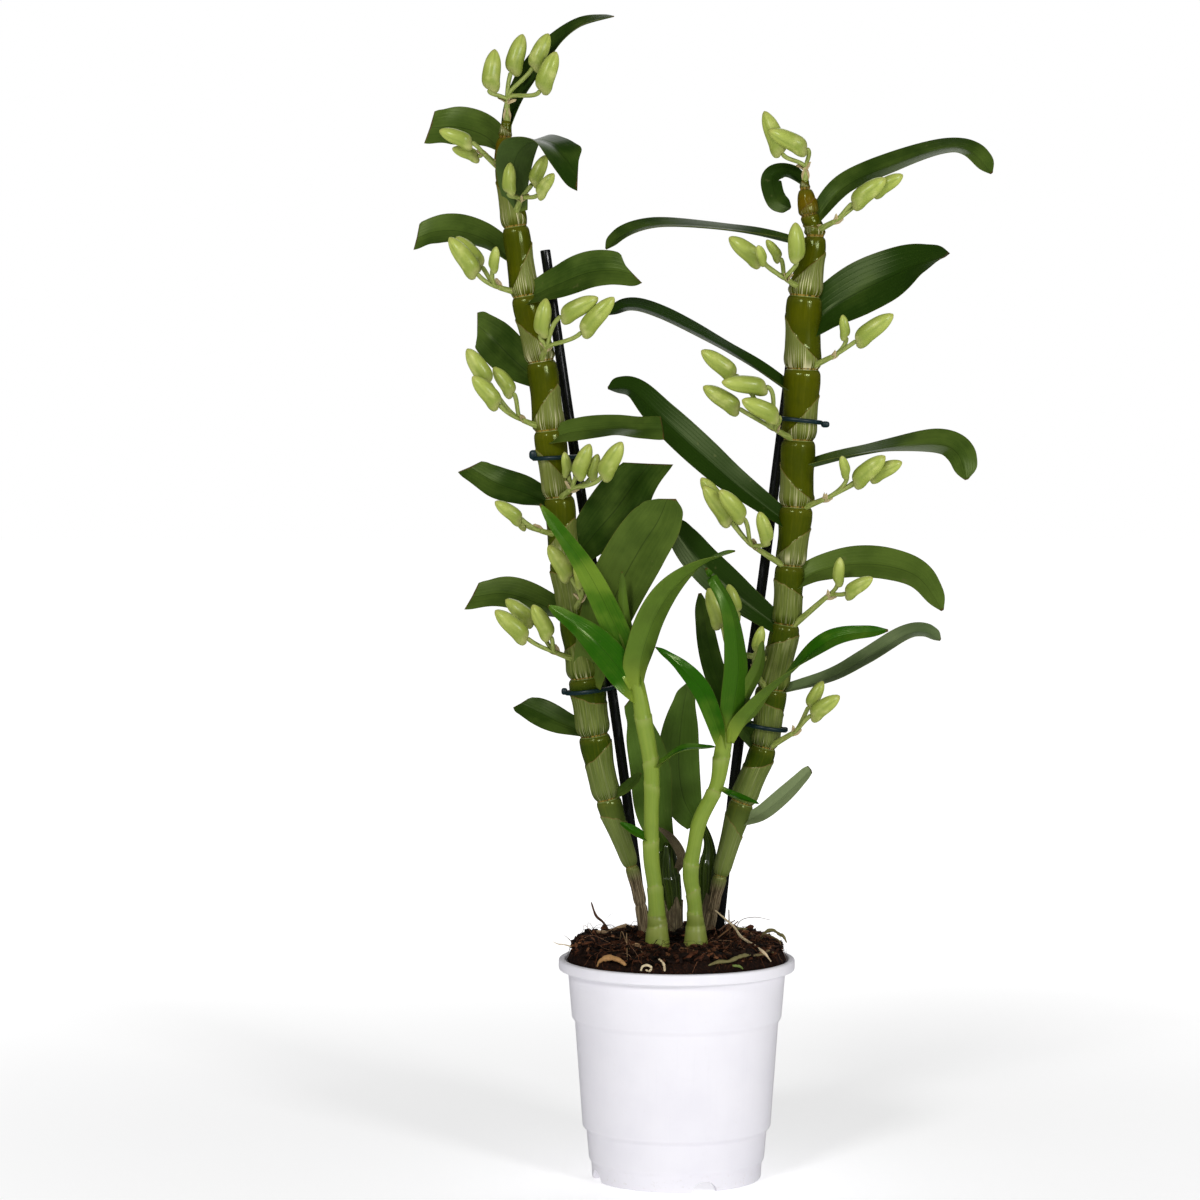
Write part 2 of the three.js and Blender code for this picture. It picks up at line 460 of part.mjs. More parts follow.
// ---------------------------------------------------------------- young shoots
const SHOOTS = {
  left: {
    stem: [[-10, -4, 110], [-10, -4, 129], [-11, -4, 147], [-13, -4, 164], [-13, -4, 183],
      [-13, -4, 209], [-17, -5, 234], [-21, -6, 258]],
    radii: [5.2, 4.7, 3.9, 4.1, 3.8, 4, 4.3, 3.2],
    leaves: [
      { at: [[-21, -6, 250], [-25, -8, 265], [-33, -12, 285], [-47, -18, 312], [-69, -23, 343]],
        wide: 14, face: [[-0.3, -0.8, 0.5], [-0.4, -0.8, 0.4], [-0.3, -0.8, 0.5]] },
      { at: [[-19, -5, 244], [-26, -8, 255], [-35, -12, 267], [-47, -15, 279], [-65, -17, 292]],
        wide: 16, face: [[-0.3, -0.8, 0.5], [-0.3, -0.8, 0.5], [-0.2, -0.8, 0.6]] },
      { at: [[-22, -5, 256], [-24, -8, 268], [-27, -12, 285], [-28, -14, 309]],
        wide: 8, face: [[0, 1, 0.1], [0, 1, 0.2]] },
      { at: [[-20, -8, 248], [-19, -11, 264], [-13, -16, 284], [-3, -22, 301], [12, -29, 314],
          [28, -35, 320]],
        wide: 19, face: [[-0.3, 0.9, 0.1], [-0.5, 0.8, 0.3], [-0.5, 0.5, 0.7], [-0.3, -0.3, 0.9]] },
      { at: [[-13, -4, 207], [1, -12, 219], [19, -16, 221]],
        wide: 7, face: [[0, -0.4, 0.9], [0, -0.4, 0.9]] },
      { at: [[-13, -4, 172], [-21, -8, 177], [-29, -10, 182]],
        wide: 6, face: [[0, -0.7, 0.7], [0, -0.7, 0.7]] },
    ],
  },
  right: {
    stem: [[10, -2, 112], [9, -2, 139], [7, -2, 155], [9, -2, 170], [12, -2, 183], [20, -3, 200],
      [23, -3, 217], [27, -4, 238]],
    radii: [5.4, 3.7, 4, 3.7, 3.9, 3.6, 4.2, 3],
    leaves: [
      { at: [[24, -4, 218], [20, -7, 231], [13, -9, 248], [2, -12, 261], [-11, -14, 271]],
        wide: 10, face: [[-0.5, -0.7, 0.5], [-0.4, -0.7, 0.5], [-0.2, -0.6, 0.8]] },
      { at: [[26, -7, 222], [28, -9, 240], [30, -13, 263], [26, -16, 290], [14, -18, 311]],
        wide: 14, face: [[-0.2, 1, 0], [-0.3, 0.9, 0.1], [-0.6, 0.6, 0.2], [-0.4, -0.2, 0.8]] },
      { at: [[28, -6, 222], [36, -9, 236], [52, -13, 254], [77, -19, 275], [105, -25, 280]],
        wide: 16,
        face: [[-0.6, 0.7, 0.4], [-0.6, 0.6, 0.5], [-0.5, 0.1, 0.85], [-0.1, -0.7, 0.7],
          [0, -0.8, 0.6]] },
      { at: [[27, -3, 230], [35, -7, 248], [41, -9, 261], [43, -10, 274]],
        wide: 8, face: [[-0.4, 0.9, 0.2], [-0.4, 0.9, 0.2]] },
      { at: [[20, -3, 199], [31, -9, 195], [41, -13, 192]],
        wide: 5, face: [[0, -0.5, 0.9], [0, -0.5, 0.9]] },
    ],
  },
};
// A young leaf clasps its stem with a broad base.
const YOUNG_WIDTH = [[0.22, 0.86], [0.45, 1], [0.68, 0.86], [0.86, 0.54]];
const YOUNG_ENDS = { base: 0.6, tip: 0.08 };
const YOUNG_CLASP = 0.8;
const SHOOT_SIDES = 8;

const youngBlade = (leaf) => blade({ ...YOUNG_ENDS, ...leaf }, YOUNG_WIDTH, YOUNG_CLASP);
const stemOf = (s, grow = 0) => rod(s.stem, s.radii, SHOOT_SIDES, ACROSS, 1, grow);
const shoot = (s) => largest(s.leaves.reduce((body, leaf) => body.add(youngBlade(leaf)), stemOf(s)));

// ---------------------------------------------------------------- old pseudobulbs with their last leaves
// Each starts on a short rhizome, under the surface, that reaches the foot of the cane beside it.
const OLD = {
  left: {
    stem: [[-11, 26, 109], [-1, 34, 113], [-2, 34, 138], [-4, 34, 153], [-4, 33, 168]],
    radii: [2.4, 3.4, 5.2, 5.6, 2.8],
    leaves: [
      { at: [[-4, 33, 165], [-11, 27, 184], [-13, 24, 206], [-18, 22, 226], [-23, 21, 243]],
        wide: 21, base: 0.4, tip: 0.45, skew: 0.3, face: [[-0.2, -1, 0], [0, -1, 0]] },
      { at: [[-1, 33, 150], [3, 27, 160], [-2, 24, 170], [-9, 23, 176]],
        wide: 5, face: [[0, -1, 0], [0, -1, 0]] },
    ],
  },
  right: {
    stem: [[15, 28, 108], [13, 35, 113], [16, 35, 138], [17, 35, 153], [17, 34, 168], [10, 30, 184]],
    radii: [2.4, 3, 4, 4.8, 2.4, 1.6],
    leaves: [
      { at: [[10.7, 29.4, 178], [4, 26, 191], [1.5, 25, 210], [3, 24, 232], [6, 22, 250]],
        wide: 22, base: 0.45, tip: 0.1, face: [[-0.2, -1, 0], [0, -1, 0]] },
    ],
  },
};

// ---------------------------------------------------------------- stakes and clips
const STAKES = {
  left: [[-12, 37, 40], [-17, 33, 124], [-33, 27, 247], [-53, 24, 375], [-67, 22, 472]],
  right: [[14, 38, 40], [23, 38, 124], [32, 32, 213], [44, 29, 298], [52, 28, 362], [60, 27, 425]],
};
const stake = (points, grow = 0) =>
  rod(points, points.map(() => STAKE_RADIUS), STAKE_SIDES, ACROSS, 1, grow);

// A clip is an open band closed round a cane and its stake: the outline that wraps both circles.
// Each has the height it sits at, the cane and the stake it holds, and its slope to the right.
const CLIPS = {
  left_upper: { cane: 'left', z: 366, slope: 0.05 },
  left_lower: { cane: 'left', z: 247, slope: 0.12 },
  right_upper: { cane: 'right', z: 385, slope: -0.1 },
  right_lower: { cane: 'right', z: 228, slope: -0.16 },
};
const CLIP_STEPS = 13;

// Where a rising axis passes height z, and its radius there.
function crossing(points, radii, z) {
  const i = Math.max(1, points.findIndex((p) => p[2] > z));
  const t = (z - points[i - 1][2]) / (points[i][2] - points[i - 1][2]);
  return [lerp(points[i - 1][0], points[i][0], t), lerp(points[i - 1][1], points[i][1], t),
    Math.max(radii[i - 1], radii[i])];
}

function clip({ cane: side, z, slope }, grow = 0) {
  const { nodes, radii } = CANES[side];
  const [cx, cy, cr] = crossing(nodes, radii, z);
  const [sx, sy] = crossing(STAKES[side], STAKES[side].map(() => STAKE_RADIUS), z);
  const circles = [[cx, cy, cr + CLIP_SLACK.cane + CLIP_RADIUS], 
    [sx, sy, STAKE_RADIUS + CLIP_SLACK.stake + CLIP_RADIUS]];
  const rings = [];
  for (let k = 0; k < CLIP_STEPS; k++) {
    const a = (2 * Math.PI * k) / CLIP_STEPS;
    const out = new THREE.Vector3(Math.cos(a), Math.sin(a), 0);
    const [x, y, r] = circles.reduce((best, c) =>
      (c[0] * out.x + c[1] * out.y + c[2] > best[0] * out.x + best[1] * out.y + best[2] ? c : best));
    const p = new THREE.Vector3(x + r * out.x, y + r * out.y, 0);
    p.z = z + slope * (p.x - cx);
    const along = new THREE.Vector3(-out.y, out.x, 0);
    rings.push(ring(p, along, out, CLIP_SIDES, CLIP_RADIUS + grow));
  }
  return loft(rings, { join: true });
}

// ---------------------------------------------------------------- growing medium
// Bark and coir: follows the inside of the pot and heaps up toward the middle and the back.
function medium() {
  const wall = POT_INSIDE.filter((_, i) => ![1, 3].includes(i)).reverse()
    .map(([r, z]) => [r - SOIL_INSET, Math.max(z, FLOOR_TOP + GAP)]).concat([HEAP_EDGE]);
  const pos = [];
  const tri = [];
  const rows = [];
  const lift = (r, a) => RIPPLES.reduce((sum, [height, lobes, twist, phase]) =>
    sum + height * Math.sin(lobes * a + twist * r + phase), HEAP_RISE * r * Math.sin(a));
  [...wall, ...HEAP].forEach(([r, z], i) => {
    const free = i >= wall.length;
    rows.push(pos.length / 3);
    for (let k = 0; k < SOIL_SIDES; k++) {
      const a = (2 * Math.PI * k) / SOIL_SIDES;
      pos.push(r * Math.cos(a), r * Math.sin(a), z + (free ? lift(r, a) : 0));
    }
  });
  for (let i = 0; i < rows.length - 1; i++) {
    for (let k = 0; k < SOIL_SIDES; k++) {
      const j = (k + 1) % SOIL_SIDES;
      tri.push(rows[i] + k, rows[i] + j, rows[i + 1] + j, rows[i] + k, rows[i + 1] + j, rows[i + 1] + k);
    }
  }
  const low = pos.length / 3;
  pos.push(0, 0, FLOOR_TOP + GAP, 0, 0, HEAP_PEAK);
  for (let k = 0; k < SOIL_SIDES; k++) {
    const j = (k + 1) % SOIL_SIDES;
    tri.push(low, rows[0] + j, rows[0] + k);
    tri.push(low + 1, rows[rows.length - 1] + k, rows[rows.length - 1] + j);
  }
  return solid(pos, tri);
}

// ---------------------------------------------------------------- assembly
const root = new THREE.Group();
root.name = 'dendrobium_orchid';

function put(name, body, look) {
  const mesh = body.getMesh();
  const g = new THREE.BufferGeometry();
  g.setAttribute('position', new THREE.BufferAttribute(new Float32Array(mesh.vertProperties), mesh.numProp));
  g.setIndex(new THREE.BufferAttribute(new Uint32Array(mesh.triVerts), 1));
  g.computeVertexNormals();
  const node = new THREE.Mesh(g, new THREE.MeshStandardMaterial({ ...LOOKS[look], metalness: 0 }));
  node.name = name;
  root.add(node);
}

const sides = ['left', 'right'];
const grownCanes = sides.map((s) => cane(CANES[s], GAP));
const grownStakes = sides.map((s) => stake(STAKES[s], GAP));
const grownClips = Object.values(CLIPS).map((c) => clip(c, GAP));
const grownShoots = sides.map((s) => stemOf(SHOOTS[s], GAP));
const grownOld = sides.map((s) => rod(OLD[s].stem, OLD[s].radii, SHOOT_SIDES, ACROSS, 1, RHIZOME_GAP));
const held = [...grownCanes, ...grownStakes, ...grownClips];
const grownStalks = sides.flatMap((s) => Object.values(SPRAYS[s]).map((data) => stalk(data, GAP)));

put('pot', pot(), 'pot');
put('substrate', carve(medium(), [...grownCanes, ...grownStakes, ...grownShoots, ...grownOld]), 'medium');
for (const s of sides) {
  put(`stake_${s}`, stake(STAKES[s]), 'stake');
  put(`cane_${s}`, cane(CANES[s]), 'cane');
  for (const [i, leaf] of Object.entries(LEAVES[s])) {
    put(`leaf_${s}_${i}`, carve(blade(leaf), [...held, ...grownStalks]), 'leaf');
  }
  for (const [i, data] of Object.entries(SPRAYS[s])) put(`buds_${s}_${i}`, carve(spray(data), held), 'bud');
  put(`shoot_${s}`, shoot(SHOOTS[s]), 'shoot');
  const old = OLD[s];
  const bulb = rod(old.stem, old.radii, SHOOT_SIDES, ACROSS, 1);
  const leafy = old.leaves.reduce((b, leaf) => b.add(youngBlade(leaf)), bulb);
  put(`old_bulb_${s}`, carve(leafy, grownCanes), 'old');
}
for (const [name, c] of Object.entries(CLIPS)) put(`clip_${name}`, clip(c), 'clip');

export default root;
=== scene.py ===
# %% [markdown]
# # A Dendrobium orchid in bud, in its growing pot
# Two old flowering canes stand in a white plastic pot, each tied to a black stake. The canes carry
# dark leaves in two ranks and sprays of buds, and two pale young shoots rise in front of them.
# Every piece is worked out as a surface on a grid with numpy, in the frame of the solids. Tables of
# points are in millimetres, as a grower would measure them, and become metres in the helpers.

# %% Load the frame
import itertools
import math
import bpy
import numpy as np
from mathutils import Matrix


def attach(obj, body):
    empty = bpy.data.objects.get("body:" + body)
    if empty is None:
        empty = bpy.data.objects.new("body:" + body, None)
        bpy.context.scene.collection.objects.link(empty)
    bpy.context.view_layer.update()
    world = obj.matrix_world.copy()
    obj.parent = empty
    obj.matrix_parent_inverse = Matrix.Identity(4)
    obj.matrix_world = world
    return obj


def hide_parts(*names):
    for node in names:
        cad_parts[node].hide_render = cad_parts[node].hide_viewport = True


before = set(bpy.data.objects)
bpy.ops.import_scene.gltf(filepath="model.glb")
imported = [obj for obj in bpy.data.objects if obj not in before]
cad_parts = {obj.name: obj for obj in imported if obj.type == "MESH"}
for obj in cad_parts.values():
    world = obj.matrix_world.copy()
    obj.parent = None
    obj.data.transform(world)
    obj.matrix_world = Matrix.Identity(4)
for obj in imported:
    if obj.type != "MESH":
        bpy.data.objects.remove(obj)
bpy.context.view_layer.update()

MM = 0.001

# %% [markdown]
# ## Camera, floor and light
# A plant on a pale table is lit softly from the front, so the light comes from a bright room all
# round, one soft lamp in front on the left and a weaker one on the right. They could be larger, but
# a lamp of half a metre gives the glossy canes and leaves their narrow highlights.

# %% Camera
CAMERA_PLACE = (-0.039, -1.8, 0.373)
CAMERA_DIP = 2.51                # degrees below the horizon
LENS, SENSOR = 106.71, 36        # focal length and width of the sensor, mm
camera = bpy.data.objects.new("camera", bpy.data.cameras.new("camera"))
bpy.context.scene.collection.objects.link(camera)
camera.location = CAMERA_PLACE
camera.rotation_euler = (math.radians(90 - CAMERA_DIP), 0, 0)
camera.data.sensor_width = SENSOR
camera.data.lens = LENS
bpy.context.scene.camera = camera
bpy.context.scene.view_settings.view_transform = "Standard"
print("camera", round(math.hypot(*CAMERA_PLACE), 2), "m away")

# %% Lights
MIDDLE = (-0.02, 0, 0.3)         # where the lamps look
LAMPS = {                        # place, width in metres, power in watts
    "lamp_front_left": ((-1.0, -2.2, 1.5), 0.5, 22.5),
    "lamp_front_right": ((1.3, -2.0, 1.0), 0.45, 19),
    "lamp_back": ((0.3, 1.8, 1.7), 1.4, 9),
}


def lamp(name, place, size, power):
    """A square soft lamp at a place, turned to look at the middle of the plant."""
    data = bpy.data.lights.new(name, "AREA")
    data.size, data.energy = size, power
    light = bpy.data.objects.new(name, data)
    bpy.context.scene.collection.objects.link(light)
    light.location = place
    away = np.array(place) - np.array(MIDDLE)
    flat = math.hypot(away[0], away[1])
    light.rotation_euler = (math.atan2(flat, away[2]), 0, math.atan2(away[0], -away[1]))


for name, (place, size, power) in LAMPS.items():
    lamp(name, place, size, power)
print(len(LAMPS), "soft lamps")

# %% Room
ROOM_LIGHT = 0.24                # strength that lights the plant; the wall itself is seen as white
ROOM_SHEEN = 0.04                # strength in reflections, where a dim room keeps the greens deep
room = bpy.data.worlds.new("room")
bpy.context.scene.world = room
room.use_nodes = True
tree = room.node_tree
ray = tree.nodes.new("ShaderNodeLightPath").outputs
sheen, strength = tree.nodes.new("ShaderNodeMapRange"), tree.nodes.new("ShaderNodeMapRange")
tree.links.new(ray["Is Glossy Ray"], sheen.inputs["Value"])
sheen.inputs["To Min"].default_value, sheen.inputs["To Max"].default_value = ROOM_LIGHT, ROOM_SHEEN
tree.links.new(ray["Is Camera Ray"], strength.inputs["Value"])
tree.links.new(sheen.outputs[0], strength.inputs["To Min"])
tree.nodes["Background"].inputs["Color"].default_value = (1, 1, 1, 1)
tree.links.new(strength.outputs[0], tree.nodes["Background"].inputs["Strength"])
print("a white room round the lamps")

# %% [markdown]
# ## Curves and grids
# A leaf, a cane, a bud and a root are all the same kind of thing to a modeller: a line down the
# middle and a cross-section that changes along it. They could be curve objects with a bevel, but a
# grid of points gives each piece its own section, its own map and its own painted values. One set of
# helpers gives points on a smooth line, and one class collects grids into a mesh.

# %% Smooth lines through a few points
def unit(a):
    """Each vector divided by its length."""
    return a / np.maximum(np.linalg.norm(a, axis=-1, keepdims=True), 1e-12)


def through(points, u):
    """Catmull-Rom line: between two points it is the cubic whose slope at each is half the step
    from the point before to the point after. The ends are extended straight."""
    p = np.asarray(points, float)
    p = p[:, None] if p.ndim == 1 else p
    p = np.vstack([2 * p[0] - p[1], p, 2 * p[-1] - p[-2]])
    s = np.clip(u, 0, 1) * (len(p) - 3)
    i = np.minimum(s.astype(int), len(p) - 4)
    t = (s - i)[:, None]
    t2, t3 = t * t, t * t * t
    return ((2 * t2 - t - t3) * p[i] + (3 * t3 - 5 * t2 + 2) * p[i + 1]
            + (4 * t2 + t - 3 * t3) * p[i + 2] + (t3 - t2) * p[i + 3]) / 2


def bend(t, start, leaving, end, arriving, reach):
    """Hermite cubic: at t = 0 it is `start` and heads along `leaving`, at t = 1 it is `end` and
    heads along `arriving`, both times `reach`."""
    return ((2 * t**3 - 3 * t**2 + 1) * start + (t**3 - 2 * t**2 + t) * reach * leaving
            + (3 * t**2 - 2 * t**3) * end + (t**3 - t**2) * reach * arriving)


def stops(pairs, u):
    """Value at u of a smooth line through [position, value] pairs: a cubic with averaged slopes."""
    x, y = np.array(pairs, float).T
    slope = np.gradient(y, x)
    i = np.clip(np.searchsorted(x, u, side="right") - 1, 0, len(x) - 2)
    wide = x[i + 1] - x[i]
    return bend(np.clip((u - x[i]) / wide, 0, 1), y[i], slope[i], y[i + 1], slope[i + 1], wide)


def rise(a, b, x):
    """0 below a, 1 above b and a smooth S between."""
    t = np.clip((x - a) / (b - a), 0, 1)
    return t * t * (3 - 2 * t)


def hump(x, width):
    """1 at zero, fading on both sides as a bell of that width."""
    return np.exp(-(x / width) ** 2)


FULL_TURN = 2 * np.pi


def angles(count):
    """So many angles, evenly round a full turn."""
    return np.linspace(0, FULL_TURN, count, endpoint=False)


def rings(centre, e1, e2, radius, angle):
    """Points round a line: its centre plus the radius times the cosine and sine of the angle, along
    two directions."""
    return (centre + e1 * (radius * np.cos(angle))[..., None]
            + e2 * (radius * np.sin(angle))[..., None])


def round_line(centre, ref, radius, angle):
    """Rings round each point of a line. The first direction is ref less its part along the line, the
    second is square to both."""
    t = unit(np.gradient(centre, axis=0))
    e1 = unit(ref - np.sum(ref * t, -1, keepdims=True) * t)
    return rings(centre[:, None], e1[:, None], np.cross(t, e1)[:, None], radius, angle)


def noise(seed, x, y, z):
    """Smooth random field from -1 to 1: a random number at each whole coordinate, blended between."""
    p = np.stack(np.broadcast_arrays(x, y, z), -1)
    table = np.random.default_rng(seed).uniform(-1, 1, 4096)
    i = np.floor(p).astype(np.int64)
    f = p - i
    f = f * f * (3 - 2 * f)
    total = 0
    for corner in itertools.product((0, 1), repeat=3):
        k = i + np.array(corner)
        pick = (k[..., 0] * 73856093 ^ k[..., 1] * 19349663 ^ k[..., 2] * 83492791) % 4096
        total = total + table[pick] * np.prod(np.where(corner, f, 1 - f), axis=-1)
    return total


print("halfway along three points:", through([[0, 0, 0], [1, 0, 1], [2, 0, 0]], np.array([0.5])).tolist())

# %% A mesh gathered from grids
TOTAL = []                       # triangles of each piece


def quads(rows, cols, steps):
    """Corner numbers of a grid that closes round its columns, with the row, column and next row of
    each face. `steps` is rows less one, or rows where the last row joins the first."""
    i, j = [g.ravel() for g in np.meshgrid(np.arange(steps), np.arange(cols), indexing="ij")]
    k, n = (j + 1) % cols, (i + 1) % rows
    return np.stack([i * cols + j, i * cols + k, n * cols + k, n * cols + j], -1), i, j, n


class Skin:
    """Bodies gathered into one mesh, each with a map, painted values and a material number."""

    def __init__(self):
        self.bodies, self.count = [], 0

    def put(self, points, faces, maps=None, material=0, smooth=True, **paint):
        """Any closed body: points, lists of faces with equal corners, and a map value per corner."""
        maps = maps or [np.zeros(f.shape + (2,)) for f in faces]
        self.bodies.append((points, [f + self.count for f in faces], maps, material, smooth, paint))
        self.count += len(points)

    def add(self, P, v=None, material=0, u=None, loop=False, **paint):
        """A grid P[row, column] that closes round its columns, and by a fan at each end or, as a
        loop, row to row. The map is u across (one value more than columns) and v along, both even
        from 0 to 1 where they aren't given."""
        rows, cols = P.shape[:2]
        u = np.linspace(0, 1, cols + 1) if u is None else u
        v = np.linspace(0, 1, rows) if v is None else v
        quad, i, j, n = quads(rows, cols, rows if loop else rows - 1)
        umap = np.stack([u[j], u[j + 1], u[j + 1], u[j]], -1)
        vmap = np.stack([v[i], v[i], v[n], v[n]], -1)
        points = P.reshape(-1, 3)
        faces, maps = [quad], [np.stack([umap, vmap], -1)]
        if not loop:
            j = np.arange(cols)
            k = (j + 1) % cols
            end = (rows - 1) * cols
            middle = (u[j] + u[j + 1]) / 2
            faces += [np.stack([k, j, j * 0 + rows * cols], -1),
                      np.stack([end + j, end + k, j * 0 + rows * cols + 1], -1)]
            maps += [np.stack([np.stack([u[j + 1], u[j], middle], -1), np.full((cols, 3), v[0])], -1),
                     np.stack([np.stack([u[j], u[j + 1], middle], -1), np.full((cols, 3), v[-1])], -1)]
            points = np.vstack([points, P[0].mean(0), P[-1].mean(0)])
        local = points - points.mean(0)
        volume = sum(np.sum(local[f[:, 0]] * np.cross(local[f[:, c]], local[f[:, c + 1]]))
                     for f in faces for c in range(1, f.shape[1] - 1))
        if volume < 0:
            faces, maps = [f[:, ::-1] for f in faces], [m[:, ::-1] for m in maps]
        values = {}
        for name, value in paint.items():
            value = np.broadcast_to(value, (rows, cols))
            ends = [] if loop else [value[0].mean(), value[-1].mean()]
            values[name] = np.concatenate([value.ravel(), ends])
        self.put(points, faces, maps, material, **values)

    def build(self, name, materials, slot, *nodes):
        """The mesh object, which rides on the root and stands for the named solids."""
        mesh = bpy.data.meshes.new(name)
        faces = [f for body in self.bodies for f in body[1]]
        sizes = np.concatenate([np.full(len(f), f.shape[1]) for f in faces])
        tags = [(body[3], body[4]) for body in self.bodies for _ in body[1]]
        points = np.vstack([body[0] for body in self.bodies])
        mesh.vertices.add(len(points))
        mesh.vertices.foreach_set("co", points.ravel())
        mesh.loops.add(int(sizes.sum()))
        mesh.loops.foreach_set("vertex_index", np.concatenate([f.ravel() for f in faces]))
        mesh.polygons.add(len(sizes))
        mesh.polygons.foreach_set("loop_start", np.concatenate([[0], np.cumsum(sizes)[:-1]]))
        for key, place in (("material_index", 0), ("use_smooth", 1)):
            mesh.polygons.foreach_set(key, np.repeat([t[place] for t in tags], [len(f) for f in faces]))
        mesh.update(calc_edges=True)
        corners = np.concatenate([m.reshape(-1, 2) for body in self.bodies for m in body[2]])
        mesh.uv_layers.new(name="UVMap").data.foreach_set("uv", corners.ravel())
        for key in sorted({k for body in self.bodies for k in body[5]}):
            column = [np.broadcast_to(body[5].get(key, 0.0), len(body[0])) for body in self.bodies]
            mesh.attributes.new(key, "FLOAT", "POINT").data.foreach_set("value", np.concatenate(column))
        mesh.validate()
        for material in materials:
            mesh.materials.append(material)
        piece = bpy.data.objects.new(name, mesh)
        bpy.context.scene.collection.objects.link(piece)
        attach(piece, "root")
        if nodes:
            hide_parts(*nodes)
        TOTAL.append(int((sizes - 2).sum()))
        print(f"{name}: {TOTAL[-1]} triangles")
        return piece


def length_of(points):
    """The sum of the distances from point to point."""
    return np.linalg.norm(np.diff(points, axis=0), axis=1).sum()


def tube(skin, points, radii, sides=12, rows=24, ref=(0.2, 1, 0.1), cap=None, flat=0.15, **paint):
    """A rod along a smooth line: each row is the centre plus the radius times the cosine and sine
    of the angle along two directions square to the line. Over the last `cap` mm the radius follows
    a quarter circle down to the share `flat`."""
    points = np.array(points, float) * MM
    cap = (radii[-1] if cap is None else cap) * MM
    reach = cap / length_of(points) * (1 - np.cos(np.linspace(0, np.pi / 2, 4)))
    u = np.unique(np.concatenate([np.linspace(0, 1, rows), reach, 1 - reach]))
    centre = through(points, u)
    run = np.concatenate([[0], np.cumsum(np.linalg.norm(np.diff(centre, axis=0), axis=1))])
    near = np.clip(np.minimum(run, run[-1] - run) / cap, 0, 1)
    radius = through(radii, u)[:, 0] * MM * (flat + (1 - flat) * np.sqrt(1 - (1 - near) ** 2))
    skin.add(round_line(centre, np.array(ref, float), radius[:, None], angles(sides)), u, **paint)


print("a mesh is gathered body by body")

# %% [markdown]
# ## Writing a material as arithmetic
# A procedural finish is arithmetic on coordinates: stretch them, take a noise, mix two colours by
# it. Node by node that is hard to read, so a small class lets an output be added and multiplied as a
# number is, and one method adds every other node.

# %% Sockets that add up
class Socket:
    """The output of a node. Arithmetic on it adds Math nodes."""

    def __init__(self, finish, output):
        self.finish, self.output = finish, output

    def __add__(self, other): return self.finish.math("ADD", self, other)
    def __sub__(self, other): return self.finish.math("SUBTRACT", self, other)
    def __rsub__(self, other): return self.finish.math("SUBTRACT", other, self)
    def __mul__(self, other): return self.finish.math("MULTIPLY", self, other)
    __radd__, __rmul__ = __add__, __mul__


class Finish:
    """A material being written. node() adds any node; the others are words for the common ones."""

    def __init__(self, name, **plain):
        self.material = bpy.data.materials.new(name)
        self.material.use_nodes = True
        self.tree = self.material.node_tree
        self.shader = self.tree.nodes["Principled BSDF"]
        for key, value in plain.items():
            self.shader.inputs[key.replace("_", " ")].default_value = value

    def node(self, kind, settings, inputs, output=0):
        """A node of a type, its settings made first, then the values or links of its sockets."""
        made = self.tree.nodes.new("ShaderNode" + kind)
        for key, value in settings.items():
            if key == "stops":
                for n, (at, colour) in enumerate(value):
                    spot = made.color_ramp.elements[n] if n < 2 else made.color_ramp.elements.new(at)
                    spot.position, spot.color = at, colour
            else:
                setattr(made, key, value)
        for key, value in inputs.items():
            if isinstance(value, Socket):
                self.tree.links.new(value.output, made.inputs[key])
            else:
                made.inputs[key].default_value = value
        return Socket(self, made.outputs[output])

    def math(self, operation, *values):
        return self.node("Math", {"operation": operation}, dict(enumerate(values)))

    def place(self): return self.node("TexCoord", {}, {}, "Object")
    def map(self, axis): return self.split(self.node("TexCoord", {}, {}, "UV"), axis)
    def split(self, vector, axis): return self.node("SeparateXYZ", {}, {0: vector}, axis)
    def vector(self, x, y, z=0.0): return self.node("CombineXYZ", {}, {0: x, 1: y, 2: z})
    def painted(self, name): return self.node("Attribute", {"attribute_name": name}, {}, "Fac")

    def stretch(self, vector, factors):
        return self.node("VectorMath", {"operation": "MULTIPLY"}, {0: vector, 1: factors})

    def grain(self, vector, scale, detail=2.0, rough=0.5):
        """Cloudy noise from 0 to 1."""
        return self.node("TexNoise", {}, {"Vector": vector, "Scale": scale, "Detail": detail,
                                          "Roughness": rough})

    def streaks(self, across, along, detail=3.0, rough=0.5):
        """Noise on the piece's own map, finer across than along."""
        return self.grain(self.vector(self.map(0) * across, self.map(1) * along), 1, detail, rough)

    def band(self, value, low, high):
        """0 below low, 1 above high and a smooth S between; reversed if low is above high."""
        return self.node("MapRange", {"interpolation_type": "SMOOTHSTEP"},
                         {"Value": value, "From Min": low, "From Max": high})

    def mix(self, share, a, b):
        """Colour a where the share is 0 and b where it is 1. Three numbers are a screen colour."""
        a, b = [paint(*c) if isinstance(c, tuple) and len(c) == 3 else c for c in (a, b)]
        return self.node("Mix", {"data_type": "RGBA"}, {0: share, 6: a, 7: b}, 2)

    def ramp(self, value, stops):
        """Screen colours at their places along the value."""
        return self.node("ValToRGB", {"stops": [(at, paint(*c)) for at, c in stops.items()]}, {0: value})

    def done(self, colour, rough, height=None, depth=0.2, normal_strength=1.0):
        """Link colour and roughness, and a relief of that depth in millimetres."""
        links = {"Base Color": colour, "Roughness": rough}
        if height is not None:
            links["Normal"] = self.node("Bump", {}, {"Strength": normal_strength, "Distance": depth * MM,
                                                     "Height": height})
        for key, value in links.items():
            if isinstance(value, Socket):
                self.tree.links.new(value.output, self.shader.inputs[key])
            else:
                self.shader.inputs[key].default_value = value
        print("finish", self.material.name, "with", len(self.tree.nodes), "nodes")
        return self.material


